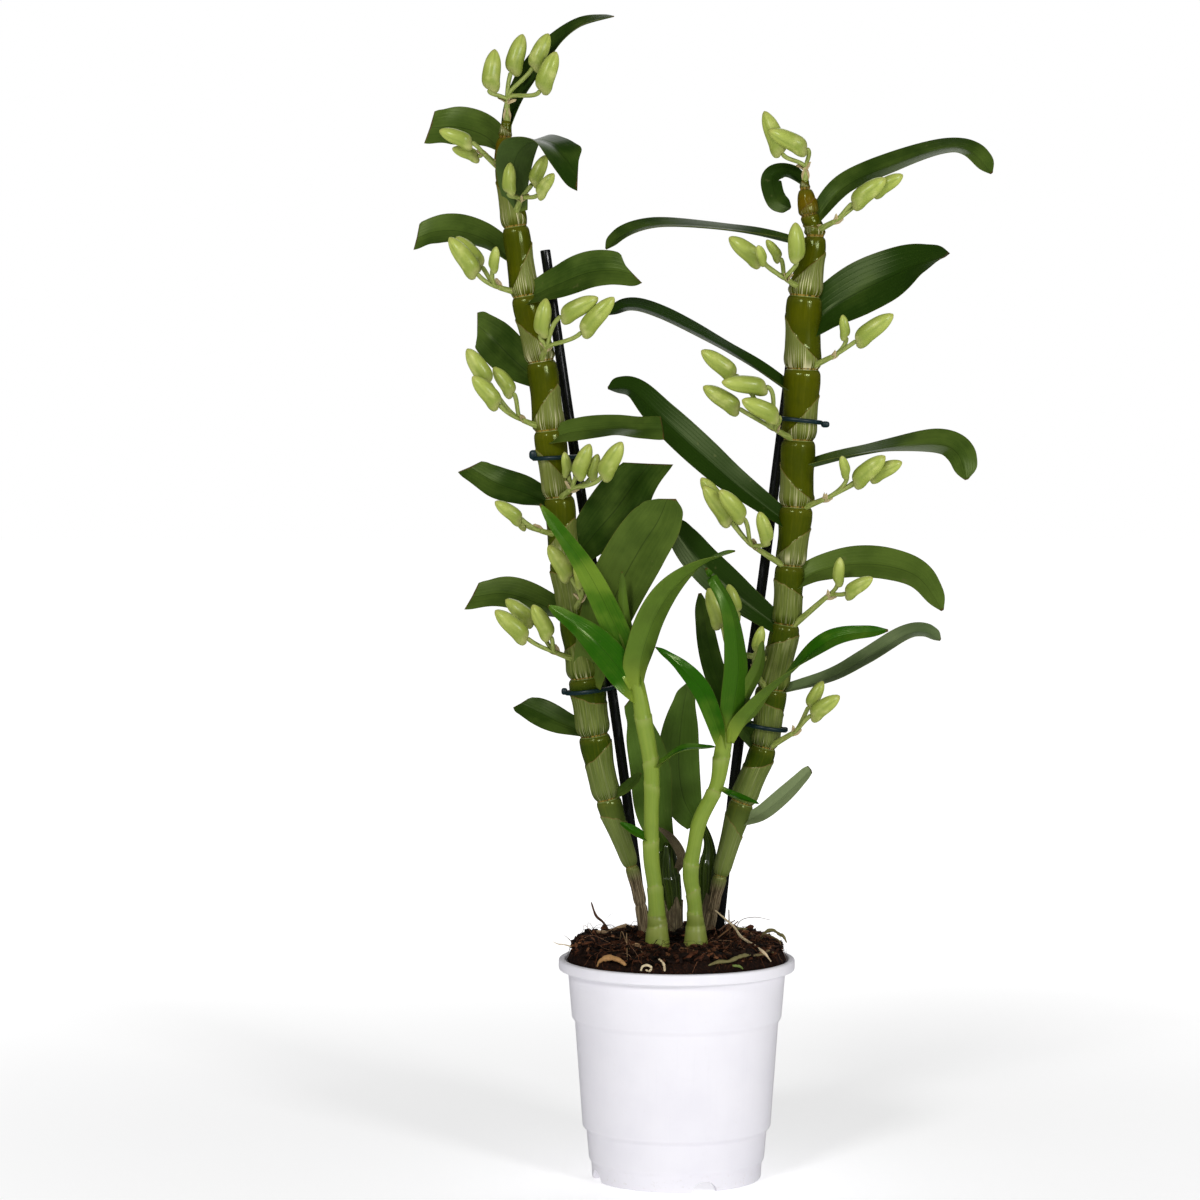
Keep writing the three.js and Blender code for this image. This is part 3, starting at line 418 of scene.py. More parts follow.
def paint(red, green, blue):
    """A screen colour from 0 to 255, as the linear light that a shader works in."""
    return tuple(c / 12.92 if c < 0.04 else ((c + 0.055) / 1.055) ** 2.4
                 for c in (red / 255, green / 255, blue / 255)) + (1.0,)


print("middle grey on screen is", round(paint(128, 128, 128)[0], 3), "of the light")

# %% [markdown]
# ## The pot
# The pot is injection moulded in white plastic: a thin wall that narrows downward in two small
# steps, a rolled lip, a foot ring with four arches and drain holes in its floor. A lathe makes such a
# shape, so the half section is turned round the axis. Each corner of the section is eased first,
# because a moulded corner always has a radius and a sharp one catches no light.

# %% Section of the pot
POT_SECTION = [[8, 0], [9, 6.5], [38.6, 6.5], [39.6, 0], [42.5, 0], [43, 0.6], [43.4, 8], [44.6, 10],
               [45.9, 24.4], [47.85, 26.5], [51.75, 80], [53.3, 82.2], [55.3, 106], [59.4, 106.4],
               [60, 107], [60, 111.3], [59.3, 112], [56.9, 112], [53.9, 106.5], [52.1, 83.4],
               [50.5, 81], [46.6, 27.4], [44.6, 25], [43.3, 12], [41.8, 8.2], [8, 8.2]]
EASE = 0.9                       # reach of a corner's bend along each side
POT_COLUMNS = 240
MAP_SCALE = 100                  # millimetres to one unit of a map, on the pot and the leaves
SHARP_ABOVE = 40                 # degrees between faces that meet in a sharp edge


def eased(corners, reach, steps=4):
    """Each corner becomes the quadratic curve from a point `reach` before it to one after it."""
    c = np.array(corners, float)
    rows = [c[:1]]
    t = np.linspace(0, 1, steps + 1)[:, None]
    for before, at, after in zip(c, c[1:], c[2:]):
        a = at + unit(before - at) * min(reach, np.linalg.norm(before - at) / 2.2)
        b = at + unit(after - at) * min(reach, np.linalg.norm(after - at) / 2.2)
        rows.append((1 - t) ** 2 * a + 2 * t * (1 - t) * at + t ** 2 * b)
    return np.vstack(rows + [c[-1:]])


def turned(section, columns):
    """A section turned round the Z axis: x and y are its radius times the cosine and sine."""
    a = angles(columns)
    r, z = section[:, :1] * MM, section[:, 1:] * MM
    return np.stack([r * np.cos(a), r * np.sin(a), z + 0 * a], -1)


pot_section = eased(POT_SECTION, EASE)
print("the eased section has", len(pot_section), "points")

# %% White plastic
def white_plastic():
    f = Finish("white_pot_plastic", IOR=1.49)
    spot = f.place()
    cloud = f.grain(spot, 35, 3)
    # flow marks run up the wall, scratches run round it
    flow = f.streaks(260, 1.5, 2)
    scuff = f.grain(f.stretch(spot, (900, 900, 60)), 1, 3)
    height = f.split(spot, 2)
    foot = 1 - f.band(height, 0.002, 0.012)
    colour = f.mix(f.band(cloud, 0.35, 0.75), (243, 241, 247), (238, 236, 243))
    colour = f.mix(f.band(flow, 0.55, 0.8) * 0.25, colour, (232, 230, 238))
    grime = f.band(f.grain(spot, 420, 4, 0.7), 0.56, 0.72)
    colour = f.mix(grime * (foot * 0.35 + 0.04), colour, (196, 186, 172))
    rough = 0.27 + 0.1 * cloud + 0.08 * f.band(scuff, 0.5, 0.7)
    return f.done(colour, rough, flow * 0.5 + scuff * 0.5 + cloud, 0.08, 0.35)


WHITE_PLASTIC = white_plastic()

# %% Cut the arches and drain holes
NOTCHES, NOTCH_WIDTH, NOTCH_HEIGHT = 4, 13, 5.5
NOTCH_FIRST = -72                # degrees round the pot
NOTCH_REACH = (36.0, 46.0)       # radii between which an arch cuts
DRAINS, DRAIN_RADIUS, DRAIN_CIRCLE = 6, 4, 25
DRAIN_SPAN = (4, 11)             # heights between which a hole cuts


def cut(piece, cutters):
    """Take closed cutters out of a piece with a Boolean, whose result becomes its mesh."""
    mesh = bpy.data.meshes.new("cutter")
    points, faces = [], []
    for grid in cutters:
        rows, cols = grid.shape[:2]
        start = sum(len(p) for p in points)
        rim = np.arange(cols) + start
        faces += (quads(rows, cols, rows - 1)[0] + start).tolist()
        faces += [rim[::-1].tolist(), (rim + (rows - 1) * cols).tolist()]
        points.append(grid.reshape(-1, 3))
    mesh.from_pydata(np.vstack(points), [], faces)
    cutter = bpy.data.objects.new("cutter", mesh)
    bpy.context.scene.collection.objects.link(cutter)
    modifier = piece.modifiers.new("cut", "BOOLEAN")
    modifier.object, modifier.operation, modifier.solver = cutter, "DIFFERENCE", "EXACT"
    bpy.context.view_layer.update()
    whole = bpy.data.meshes.new_from_object(piece.evaluated_get(bpy.context.evaluated_depsgraph_get()))
    piece.modifiers.remove(modifier)
    piece.data = whole
    bpy.data.objects.remove(cutter)


def drain(turn):
    """An upright cylinder through the floor."""
    a = angles(24)
    x = DRAIN_CIRCLE * math.cos(turn) + DRAIN_RADIUS * np.cos(a)
    y = DRAIN_CIRCLE * math.sin(turn) + DRAIN_RADIUS * np.sin(a)
    return np.stack([np.stack([x, y, 0 * x + z], -1) for z in DRAIN_SPAN]) * MM


def arch(turn):
    """Half an ellipse standing on a flat foot, carried outward through the ring."""
    a = np.linspace(0, np.pi, 17)
    side = np.concatenate([NOTCH_WIDTH / 2 * np.cos(a), [-NOTCH_WIDTH / 2, NOTCH_WIDTH / 2]])
    up = np.concatenate([NOTCH_HEIGHT * np.sin(a), [-2, -2]])
    out = np.array(NOTCH_REACH)[:, None]
    x = out * math.cos(turn) - side * math.sin(turn)
    y = out * math.sin(turn) + side * math.cos(turn)
    return np.stack([x, y, up + 0 * x], -1) * MM


reached = np.cumsum(np.r_[0, np.hypot(*np.diff(pot_section, axis=0).T)])
pot = Skin()
pot.add(turned(pot_section, POT_COLUMNS), reached / MAP_SCALE)
pot = pot.build("pot_white", [WHITE_PLASTIC], "pot", "pot")
cut(pot, [drain(FULL_TURN * (n + 0.5) / DRAINS) for n in range(DRAINS)]
    + [arch(math.radians(NOTCH_FIRST) + FULL_TURN * n / NOTCHES) for n in range(NOTCHES)])
pot.data.set_sharp_from_angle(angle=math.radians(SHARP_ABOVE))
print("pot has", len(pot.data.polygons), "faces after the cuts")

# %% [markdown]
# ## The growing medium
# An orchid grows in bark chips and coir, heaped up round the roots. One dark, lumpy body fills the
# pot; over it lie some thousand chips and hundreds of hair-thin fibres. Instancing would be the
# usual way, but the chips are computed as one array of corners so that the piece is real geometry.
# The heap fills the pot to its lip with steep edges, is level on top and rises a little to the back.

# %% The heap's height
HEAP = [[0, 120], [9, 120], [22, 120.3], [36, 120.3], [46, 120], [51.5, 119], [54.3, 115.5],
        [55.6, 111.2]]
HEAP_EDGE, EDGE_START = 55.6, 52.5
RIPPLES = [[1, 3, 0.22, 0], [0.7, 5, -0.35, 1], [0.5, 9, 0.5, 2]]     # height, lobes, twist, phase
HEAP_RISE = 0.025
HOLLOW_DEEP, HOLLOW_WIDE, HOLLOW_AHEAD = 3.2, 15, 8     # where the young shoots stand, mm
SOIL_WALL = [[41.3, 8.5], [44.1, 25], [51.6, 83.4], [53.4, 106.5]]
LIP = 112                        # height of the pot's lip


def heap(x, y):
    """Height in mm: a profile over the radius, a slope to the back and three slow ripples that
    fade toward the middle, less a round hollow in front of it. Slope and ripples fade at the
    edge, which lies level in the pot."""
    r, a = np.hypot(x, y), np.arctan2(y, x)
    wave = sum(h * np.sin(lobes * a + twist * r + phase) for h, lobes, twist, phase in RIPPLES)
    dip = HOLLOW_DEEP * hump(np.hypot(x, y + HOLLOW_AHEAD), HOLLOW_WIDE)
    return stops(HEAP, r) - dip + (HEAP_RISE * y + wave * rise(0, 12, r)) * inner(r)


def inner(radius):
    """1 over the heap, falling to 0 at its edge."""
    return 1 - rise(EDGE_START, HEAP_EDGE, radius)


radius, a = np.linspace(HEAP_EDGE, 1.5, 48)[:, None], angles(150)
x, y = radius * np.cos(a), radius * np.sin(a)
lumps = 1.5 * noise(1, x / 4.5, y / 4.5, 0) + 0.7 * noise(2, x / 1.9, y / 1.9, 0)
ragged = 1 - 0.022 * np.abs(noise(4, x / 3, y / 3, 0)) * hump(radius - 53, 1.6)
top = np.stack([x * ragged, y * ragged, heap(x, y) + (lumps - 0.8) * inner(radius)], -1)
wall = np.array([[[r * np.cos(t), r * np.sin(t), z] for t in a] for r, z in SOIL_WALL])
print("the heap stands", round(float(top[..., 2].max() - LIP), 1), "mm above the lip")

# %% Dark, damp crumb
def crumb():
    f = Finish("dark_bark_crumb", Specular_IOR_Level=0.15)
    spot = f.place()
    grain, lump = f.grain(spot, 900, 4, 0.7), f.grain(spot, 160, 3)
    colour = f.ramp(grain, {0.3: (10, 6, 4), 0.52: (34, 18, 10), 0.75: (80, 46, 26)})
    return f.done(f.mix(f.band(lump, 0.4, 0.7) * 0.6, colour, (28, 18, 12)), 0.78 + 0.2 * grain,
                  grain + lump, 1.2)


medium = Skin()
medium.add(np.vstack([wall, top]) * MM)
medium.build("growing_medium_heap", [crumb()], "growing_medium", "substrate")

# %% Bark chips
CHIPS, CHIP_LONG, CHIP_SHORT, CHIP_REACH = 3400, 6.5, 1.1, 54.7
EDGE_SHARE, EDGE_FROM = 0.22, 49         # share of the chips on the steep edge, and its inner radius
GOLD = (1 + 5 ** 0.5) / 2                # the corners of a chip before it is squashed: an icosahedron
ICO_POINTS = unit(np.array([(-1, GOLD, 0), (1, GOLD, 0), (-1, -GOLD, 0), (1, -GOLD, 0),
                            (0, -1, GOLD), (0, 1, GOLD), (0, -1, -GOLD), (0, 1, -GOLD),
                            (GOLD, 0, -1), (GOLD, 0, 1), (-GOLD, 0, -1), (-GOLD, 0, 1)]))
ICO_FACES = np.array([(0, 11, 5), (0, 5, 1), (0, 1, 7), (0, 7, 10), (0, 10, 11), (1, 5, 9), (5, 11, 4),
                      (11, 10, 2), (10, 7, 6), (7, 1, 8), (3, 9, 4), (3, 4, 2), (3, 2, 6), (3, 6, 8),
                      (3, 8, 9), (4, 9, 5), (2, 4, 11), (6, 2, 10), (8, 6, 7), (9, 8, 1)])
BROWNS_AT = (0.0, 0.45, 0.8, 1.0)        # where the four browns stand along the tone


def turns(yaw, tilt, roll):
    """Matrices for a roll about X, then a tilt about Y, then a yaw about Z."""
    def about(axis, angle):
        m = np.tile(np.eye(3), (len(angle), 1, 1))
        i, j = [(1, 2), (2, 0), (0, 1)][axis]
        m[:, i, i] = m[:, j, j] = np.cos(angle)
        m[:, i, j], m[:, j, i] = -np.sin(angle), np.sin(angle)
        return m
    return about(2, yaw) @ about(1, tilt) @ about(0, roll)


def bark(name, *browns):
    """Four browns by the painted tone, darkened in the grooves of a stretched grain."""
    f = Finish(name, Specular_IOR_Level=0.15)
    spot, tone = f.place(), f.painted("tone")
    grain = f.grain(f.stretch(spot, (500, 500, 1100)), 1, 4, 0.65)
    colour = f.mix(f.band(grain, 0.42, 0.66) * 0.55, f.ramp(tone, dict(zip(BROWNS_AT, browns))), (30, 19, 12))
    return f.done(colour, 0.72 + 0.2 * grain, grain, 0.5)


rng = np.random.default_rng(11)
long = CHIP_SHORT + (CHIP_LONG - CHIP_SHORT) * rng.random(CHIPS) ** 2.2
r = np.where(rng.random(CHIPS) < EDGE_SHARE, rng.uniform(EDGE_FROM, CHIP_REACH, CHIPS),
             CHIP_REACH * np.sqrt(rng.random(CHIPS)))
r = np.minimum(r, CHIP_REACH - 0.5 * long)
a = rng.random(CHIPS) * FULL_TURN
x, y = r * np.cos(a), r * np.sin(a)
size = np.stack([long, long * rng.uniform(0.4, 0.8, CHIPS), long * rng.uniform(0.22, 0.45, CHIPS)], -1) / 2
turn = turns(rng.random(CHIPS) * FULL_TURN, rng.normal(0, 0.38, CHIPS), rng.normal(0, 0.35, CHIPS))
corners = ICO_POINTS * (1 + rng.normal(0, 0.16, (CHIPS, 12, 1))) * size[:, None]
corners = np.einsum("nij,nvj->nvi", turn, corners)
centre = np.stack([x, y, heap(x, y) + size[:, 2] * rng.uniform(-0.3, 1.1, CHIPS)], -1)
chips = Skin()
chips.put((corners + centre[:, None]).reshape(-1, 3) * MM,
          [(ICO_FACES + 12 * np.arange(CHIPS)[:, None, None]).reshape(-1, 3)], smooth=False,
          tone=np.repeat(rng.random(CHIPS) ** 1.6, 12))
BARK = bark("bark", (11, 6, 4), (34, 18, 10), (86, 48, 28), (146, 98, 64))
chips.build("bark_chips", [BARK], "growing_medium")

# %% Coir fibres
FIBRES, FIBRE_ROWS = 560, 9
SECTION = (0.5, 2.6, 4.7)        # angles of the three corners of a fibre's section


def threads(skin, start, yaw, length, curl, hop, radius, tone):
    """Many fibres at once: the heading turns steadily by `curl` along the length, the height follows
    the heap with an arc of `hop`, and the section is a small triangle."""
    t = np.linspace(0, 1, FIBRE_ROWS)
    heading = yaw[:, None] + curl[:, None] * t
    step = length[:, None] / (FIBRE_ROWS - 1)
    x = start[:, :1] + np.cumsum(np.cos(heading) * step, 1)
    y = start[:, 1:] + np.cumsum(np.sin(heading) * step, 1)
    near = np.minimum(1, (CHIP_REACH + 1.5) / np.hypot(x, y))
    x, y = x * near, y * near
    z = heap(x, y) + 0.9 + hop[:, None] * 4 * t * (1 - t)
    line = np.stack([x, y, z], -1)
    along = unit(np.gradient(line, axis=1))
    side = unit(np.cross(along, (0, 0, 1.0)))
    up = np.cross(side, along)
    taper = radius[:, None] * (1 - 0.5 * t)
    corners = [line + (side * math.cos(k) + up * math.sin(k)) * taper[..., None] for k in SECTION]
    each = 3 * FIBRE_ROWS
    first = each * np.arange(len(x))[:, None, None]
    ends = np.array([[2, 1, 0], [each - 3, each - 2, each - 1]])
    walls = (quads(FIBRE_ROWS, 3, FIBRE_ROWS - 1)[0] + first).reshape(-1, 4)
    skin.put(np.stack(corners, 2).reshape(-1, 3) * MM, [walls, (ends + first).reshape(-1, 3)],
             tone=np.repeat(tone, each))


r, a = 54 * np.sqrt(rng.random(FIBRES)), rng.random(FIBRES) * FULL_TURN
fibres = Skin()
threads(fibres, np.stack([r * np.cos(a), r * np.sin(a)], -1), rng.random(FIBRES) * FULL_TURN,
        rng.uniform(5, 19, FIBRES), rng.normal(0, 1.6, FIBRES), rng.gamma(1.4, 1.1, FIBRES),
        rng.uniform(0.07, 0.2, FIBRES), rng.random(FIBRES) ** 1.6)
COIR = bark("coir", (22, 12, 7), (70, 38, 22), (136, 84, 54), (206, 160, 124))
fibres.build("coir_fibres", [COIR], "growing_medium")

# %% [markdown]
# ## Roots at the surface
# Orchid roots have a spongy pale skin, green where they are damp, and a few run over the surface.
# Each is a tube through given points, and one finish colours it from a painted tone.

# %% Roots
ROOTS = [                        # points, radii, tone: 0 cream, 0.45 golden, 0.6 brown, 1 green
    [[[20, 14, 134.3], [28.8, 0, 128], [32.2, -12, 124.4], [37.4, -24, 122.2], [42.8, -32, 119.2],
      [46.5, -31, 114.5]], [0.6, 0.75, 0.9, 0.8, 0.85, 0.5], 0.08],
    [[[-43.6, 26, 137.1], [-41.1, 28, 129.8], [-37.5, 30, 126.1], [-34.4, 32, 121]],
     [0.35, 0.95, 0.8, 0.8], 0.6],
    [[[-37.5, 28, 119.5], [-30, 34, 122.4], [-25.2, 36, 123.2], [-19, 38, 121]], [1.1, 1.3, 1.4, 0.9], 0.24],
    [[[-40.5, -37, 112.5], [-39.6, -38, 115], [-37, -40, 117.2], [-33.5, -42, 118], [-29.5, -45, 117.2],
      [-26, -47, 115]], [0.4, 0.9, 1.5, 1.7, 1.5, 0.9], 0.45],
    [[[-18.8, -52.4, 113], [-18, -53, 115.2], [-15.8, -53.6, 116], [-13.6, -53.4, 114.8], [-14.6, -53.2, 113],
      [-16.6, -53, 113.6]], [0.7, 0.75, 0.8, 0.75, 0.7, 0.5], 0.0],
    [[[-10, -50, 118.4], [-7.6, -53.2, 116.6], [-7, -54.6, 113]], [0.8, 1.0, 0.6], 0.06],
    [[[14.5, -52, 115.6], [19.5, -50.6, 117.2], [24.5, -48.8, 117.2], [28.5, -46, 118.4], [32, -43, 119.2],
      [36, -39, 119]], [0.6, 1.1, 1.1, 1.3, 1.2, 0.8], 0.8],
    [[[36.5, -39, 118.6], [43, -31, 118.2], [45, -25, 119], [49, -21, 117.4]], [0.6, 0.9, 0.8, 0.5], 0.74],
    [[[26.5, -48.5, 115], [30, -46.5, 114.4], [32, -45.2, 112.8]], [0.6, 0.9, 0.4], 1.0],
    [[[42, 4, 119.5], [45, 2, 124.5], [49, 0, 126], [52, -3, 124.4], [54, -5, 123.6], [55.6, -7, 120.6]],
     [0.7, 1.1, 1.1, 1.0, 1.0, 0.5], 0.8],
    [[[41, 3, 120.5], [44.5, 0, 123.8], [48.6, -2, 122.8], [52, -3.5, 121], [53, -4, 118]],
     [0.4, 0.6, 0.6, 0.5, 0.4], 0.7],
    [[[18, 12, 120.5], [24.4, 18, 125.2], [30.6, 24, 127.8]], [0.6, 0.55, 0.35], 0.6],
    [[[20, 8, 120], [26, 14, 123.8], [32, 18, 128.2]], [0.5, 0.45, 0.3], 0.55],
    [[[30, 20, 121], [33, 16, 128.6], [40, 11, 131.2], [47.9, 8, 130.2]], [0.2, 0.2, 0.2, 0.12], 0.6],
    [[[27.6, 11, 120], [27, 8, 128], [26.8, 8, 135.6]], [0.6, 0.45, 0.3], 0.62],
    [[[-29, 2, 120], [-28, -8, 126.5], [-26, -22, 123.4], [-24, -33, 120.5]], [0.25, 0.22, 0.2, 0.15], 0.3],
    [[[-26, -2, 120], [-25.6, -12, 126], [-25.5, -32, 121.4], [-25.5, -45, 117.5]],
     [0.25, 0.22, 0.22, 0.15], 0.26],
    [[[-21.5, -10, 120], [-19, -28, 121.6], [-17.5, -44, 118.6]], [0.2, 0.25, 0.15], 0.28],
    [[[-23.4, -9, 118.6], [-20.5, -11, 120], [-17.6, -12, 118.6]], [0.7, 1.3, 0.7], 0.3],
    [[[-49, -8, 117.5], [-57, -10, 120], [-60, -10, 120.3], [-63, -10, 121.6]], [0.4, 0.35, 0.3, 0.12], 0.05],
    [[[-50, -6, 117.5], [-54.5, -8, 122.4], [-57, -8, 124.5]], [0.25, 0.2, 0.1], 0.6],
    [[[-33, 22, 121.4], [-40, 30, 121], [-38, 39, 117.6], [-30, 44, 117]], [1.0, 1.3, 1.3, 0.8], 0.2],
    [[[30, 30, 123], [38, 34, 121.4], [36, 42, 119], [26, 47, 116]], [0.8, 1.2, 1.3, 0.8], 0.8],
    [[[-4, 44, 121.6], [6, 49, 119], [14, 50, 117]], [0.8, 1.2, 0.8], 0.42],
    [[[-6, -24, 120], [2, -30, 121], [8, -36, 120.4], [10, -42, 118]], [0.3, 0.6, 0.6, 0.3], 0.56],
]


def root_skin():
    f = Finish("root_skin")
    tone, spot = f.painted("tone"), f.place()
    grain = f.grain(spot, 700, 4, 0.6)
    colour = f.ramp(tone, {0.0: (222, 204, 166), 0.26: (182, 148, 108), 0.45: (174, 130, 78),
                           0.6: (86, 54, 34), 0.78: (116, 106, 64), 1.0: (114, 134, 62)})
    colour = f.mix(f.band(grain, 0.5, 0.72) * 0.5, colour, (84, 56, 34))
    return f.done(colour, 0.6 + 0.2 * grain, grain + f.grain(spot, 220, 2), 0.5)


ROOT_SCALE, ROOT_UNEVEN = 0.78, 0.12     # of the table's radii, and how far they wander
roots = Skin()
for points, radii, tone in ROOTS:
    even = through(radii, np.linspace(0, 1, 15))[:, 0] * ROOT_SCALE
    tube(roots, points, even * (1 + ROOT_UNEVEN * rng.normal(size=15)), 12, 40, ref=(0, 0, 1), tone=tone)
roots.build("surface_roots", [root_skin()], "growing_medium")

# %% [markdown]
# ## The canes
# A cane is a chain of internodes. Each is pinched at its node, full just above it and swells again
# below the next. A papery sheath, the foot of an old leaf, wraps the lower part of each internode and
# ends in a slanted rim. A bevelled curve could carry the thickness but not the sheaths, so a grid
# holds the whole cane: the radius is a product of simple functions of height and angle, and the
# distance from the sheath's rim is painted on the points for the finish to colour.

# %% Axes of the canes
CANES = {
    "left": {
        "nodes": [[-15, 24, 110], [-18, 23, 136], [-23, 22, 156], [-35, 20, 191], [-42, 18, 224],
                  [-46, 16.5, 254], [-52, 15, 285], [-57, 14, 314], [-60, 13, 346], [-65, 12, 380],
                  [-69, 11, 415], [-77, 10, 448], [-82, 10, 483], [-87, 10, 514], [-87, 10, 528],
                  [-86, 10, 538]],
        "radii": [2.8, 2.9, 3.4, 6.6, 8, 9.2, 7.9, 7.8, 7.6, 7.9, 7.4, 7.1, 6.6, 5, 3.3, 2.4],
    },
    "right": {
        "nodes": [[15, 26, 110], [19, 25, 132], [23, 24, 151], [34, 22, 189], [45, 20, 218],
                  [49, 18, 248], [56, 16, 281], [58, 15, 311], [61, 14, 341], [62, 13, 375],
                  [64, 12, 411], [65, 11, 448], [70, 10, 478], [67, 10, 489], [65, 10, 502],
                  [65, 10, 508]],
        "radii": [2.6, 2.8, 3.8, 6.5, 6.7, 8, 7, 7.3, 8.4, 8.5, 9.1, 8.7, 5.2, 3.9, 2.5, 1.6],
    },
}
INTERNODE = [[0, 0.9], [0.04, 0.95], [0.1, 1.02], [0.3, 1.0], [0.5, 0.98], [0.87, 1.04], [0.95, 1.0],
             [1, 0.9]]
PER_NODE, CANE_COLUMNS = 42, 96
DRY_NODES = 2                    # internodes of the withered foot, which have lost their sheaths
LONG_SHEATHS = 7                 # below this node the sheaths are nearly whole
LONG_RIM, LONG_SWING = (0.62, 0.76), (0.1, 0.2)         # height of a rim in its internode, and how far
SHORT_RIM, SHORT_SWING = (0.3, 0.42), (0.26, 0.38)      # it swings round the cane: least and most
CROWN = {"left": 0.15, "right": 0.5}     # how much the amber internode under the top swells
SHEATH_THICK, RIM_THICK, NODE_PINCH, RIB_HEIGHT = 0.34, 0.22, 0.3, 0.1      # relief of the skin, mm
print({side: len(c["nodes"]) for side, c in CANES.items()}, "nodes on the canes")

# %% Finish of the canes
WAX_TINT = (0.85, 1.0, 0.5, 1.0)     # tint of the sheen on the waxy skin of canes and leaves


def cane_skin():
    f = Finish("cane_skin", IOR=1.45, Specular_IOR_Level=0.42, Specular_Tint=WAX_TINT)
    edge, above, below, dry, crown = [f.painted(key) for key in ("edge", "above", "below", "dry", "crown")]
    spot, height, streak = f.place(), f.split(f.place(), 2), f.streaks(46, 1.6, 3, 0.6)
    cloud = f.grain(spot, 60, 3)
    # glossy green skin, deep green low down and olive at the top
    green = f.mix(f.band(height + 0.05 * cloud, 0.24, 0.44), (50, 66, 8), (72, 76, 2))
    green = f.mix(f.band(streak, 0.45, 0.75) * 0.3, green, (98, 98, 14))
    green = f.mix(f.band(cloud, 0.4, 0.62) * 0.35, green, (40, 56, 6))
    green = f.mix(crown * 0.9, green, (98, 80, 4))
    # a paler yellowish band over the last few mm below each node is a painted highlight
    green = f.mix((1 - f.band(below, 0.4, 5)) * 0.3, green, (104, 104, 30))
    green = f.mix((1 - f.band(height, 0.16, 0.21)) * 0.6, green, (112, 126, 62))
    # thin sheath: green shows through it, and cream nerves part into pointed strands at the node
    nerve = 1 - f.band(f.math("ABSOLUTE", f.streaks(44, 0.7, 0) - 0.5), 0.0, 0.06)
    paper = f.mix(f.band(streak, 0.35, 0.7), (80, 94, 30), (114, 124, 58))
    paper = f.mix(f.band(height, 0.25, 0.36) * 0.4, paper, (132, 136, 66))
    paper = f.mix((1 - f.band(height, 0.17, 0.25)) * 0.7, paper, (112, 126, 62))
    near = above + streak * 8 + (1 - f.band(height, 0.27, 0.38)) * 7
    strand = nerve * f.band(height, 0.16, 0.19) * (1 - f.band(near, 9, 18))
    paper = f.mix(nerve * 0.12 + strand * 0.72, paper, (224, 216, 172))
    on = f.band(edge, -0.05, 0.12) * f.band(above, 0.15, 0.9)
    on = on * (1 - (1 - nerve) * (1 - f.band(above + streak * 6, 4, 9)) * 0.9) * (1 - crown)
    colour = f.mix(on * 0.84, green, paper)
    rim = f.band(edge, -0.1, 0.1) * (1 - f.band(edge, 0.2, 0.6))
    colour = f.mix(rim * 0.75, colour, (112, 84, 44))
    ring = 1 - f.band(f.math("MINIMUM", above, below), 0.35, 0.9)
    teeth = f.mix(f.band(streak, 0.42, 0.58), (50, 34, 14), (158, 128, 56))
    colour = f.mix(ring * 0.85, colour, teeth)
    straw = f.mix(f.band(streak, 0.42, 0.6), (64, 50, 36), (150, 132, 104))
    straw = f.mix(f.band(f.grain(spot, 380, 3, 0.7), 0.55, 0.75) * 0.7, straw, (56, 42, 30))
    colour = f.mix(dry, colour, straw)
    rough = 0.12 + 0.08 * cloud + 0.26 * on + 0.6 * dry
    return f.done(colour, rough, streak * 0.4 + nerve * on * 0.4 + dry * streak * 2, 0.25)


CANE_SKIN = cane_skin()

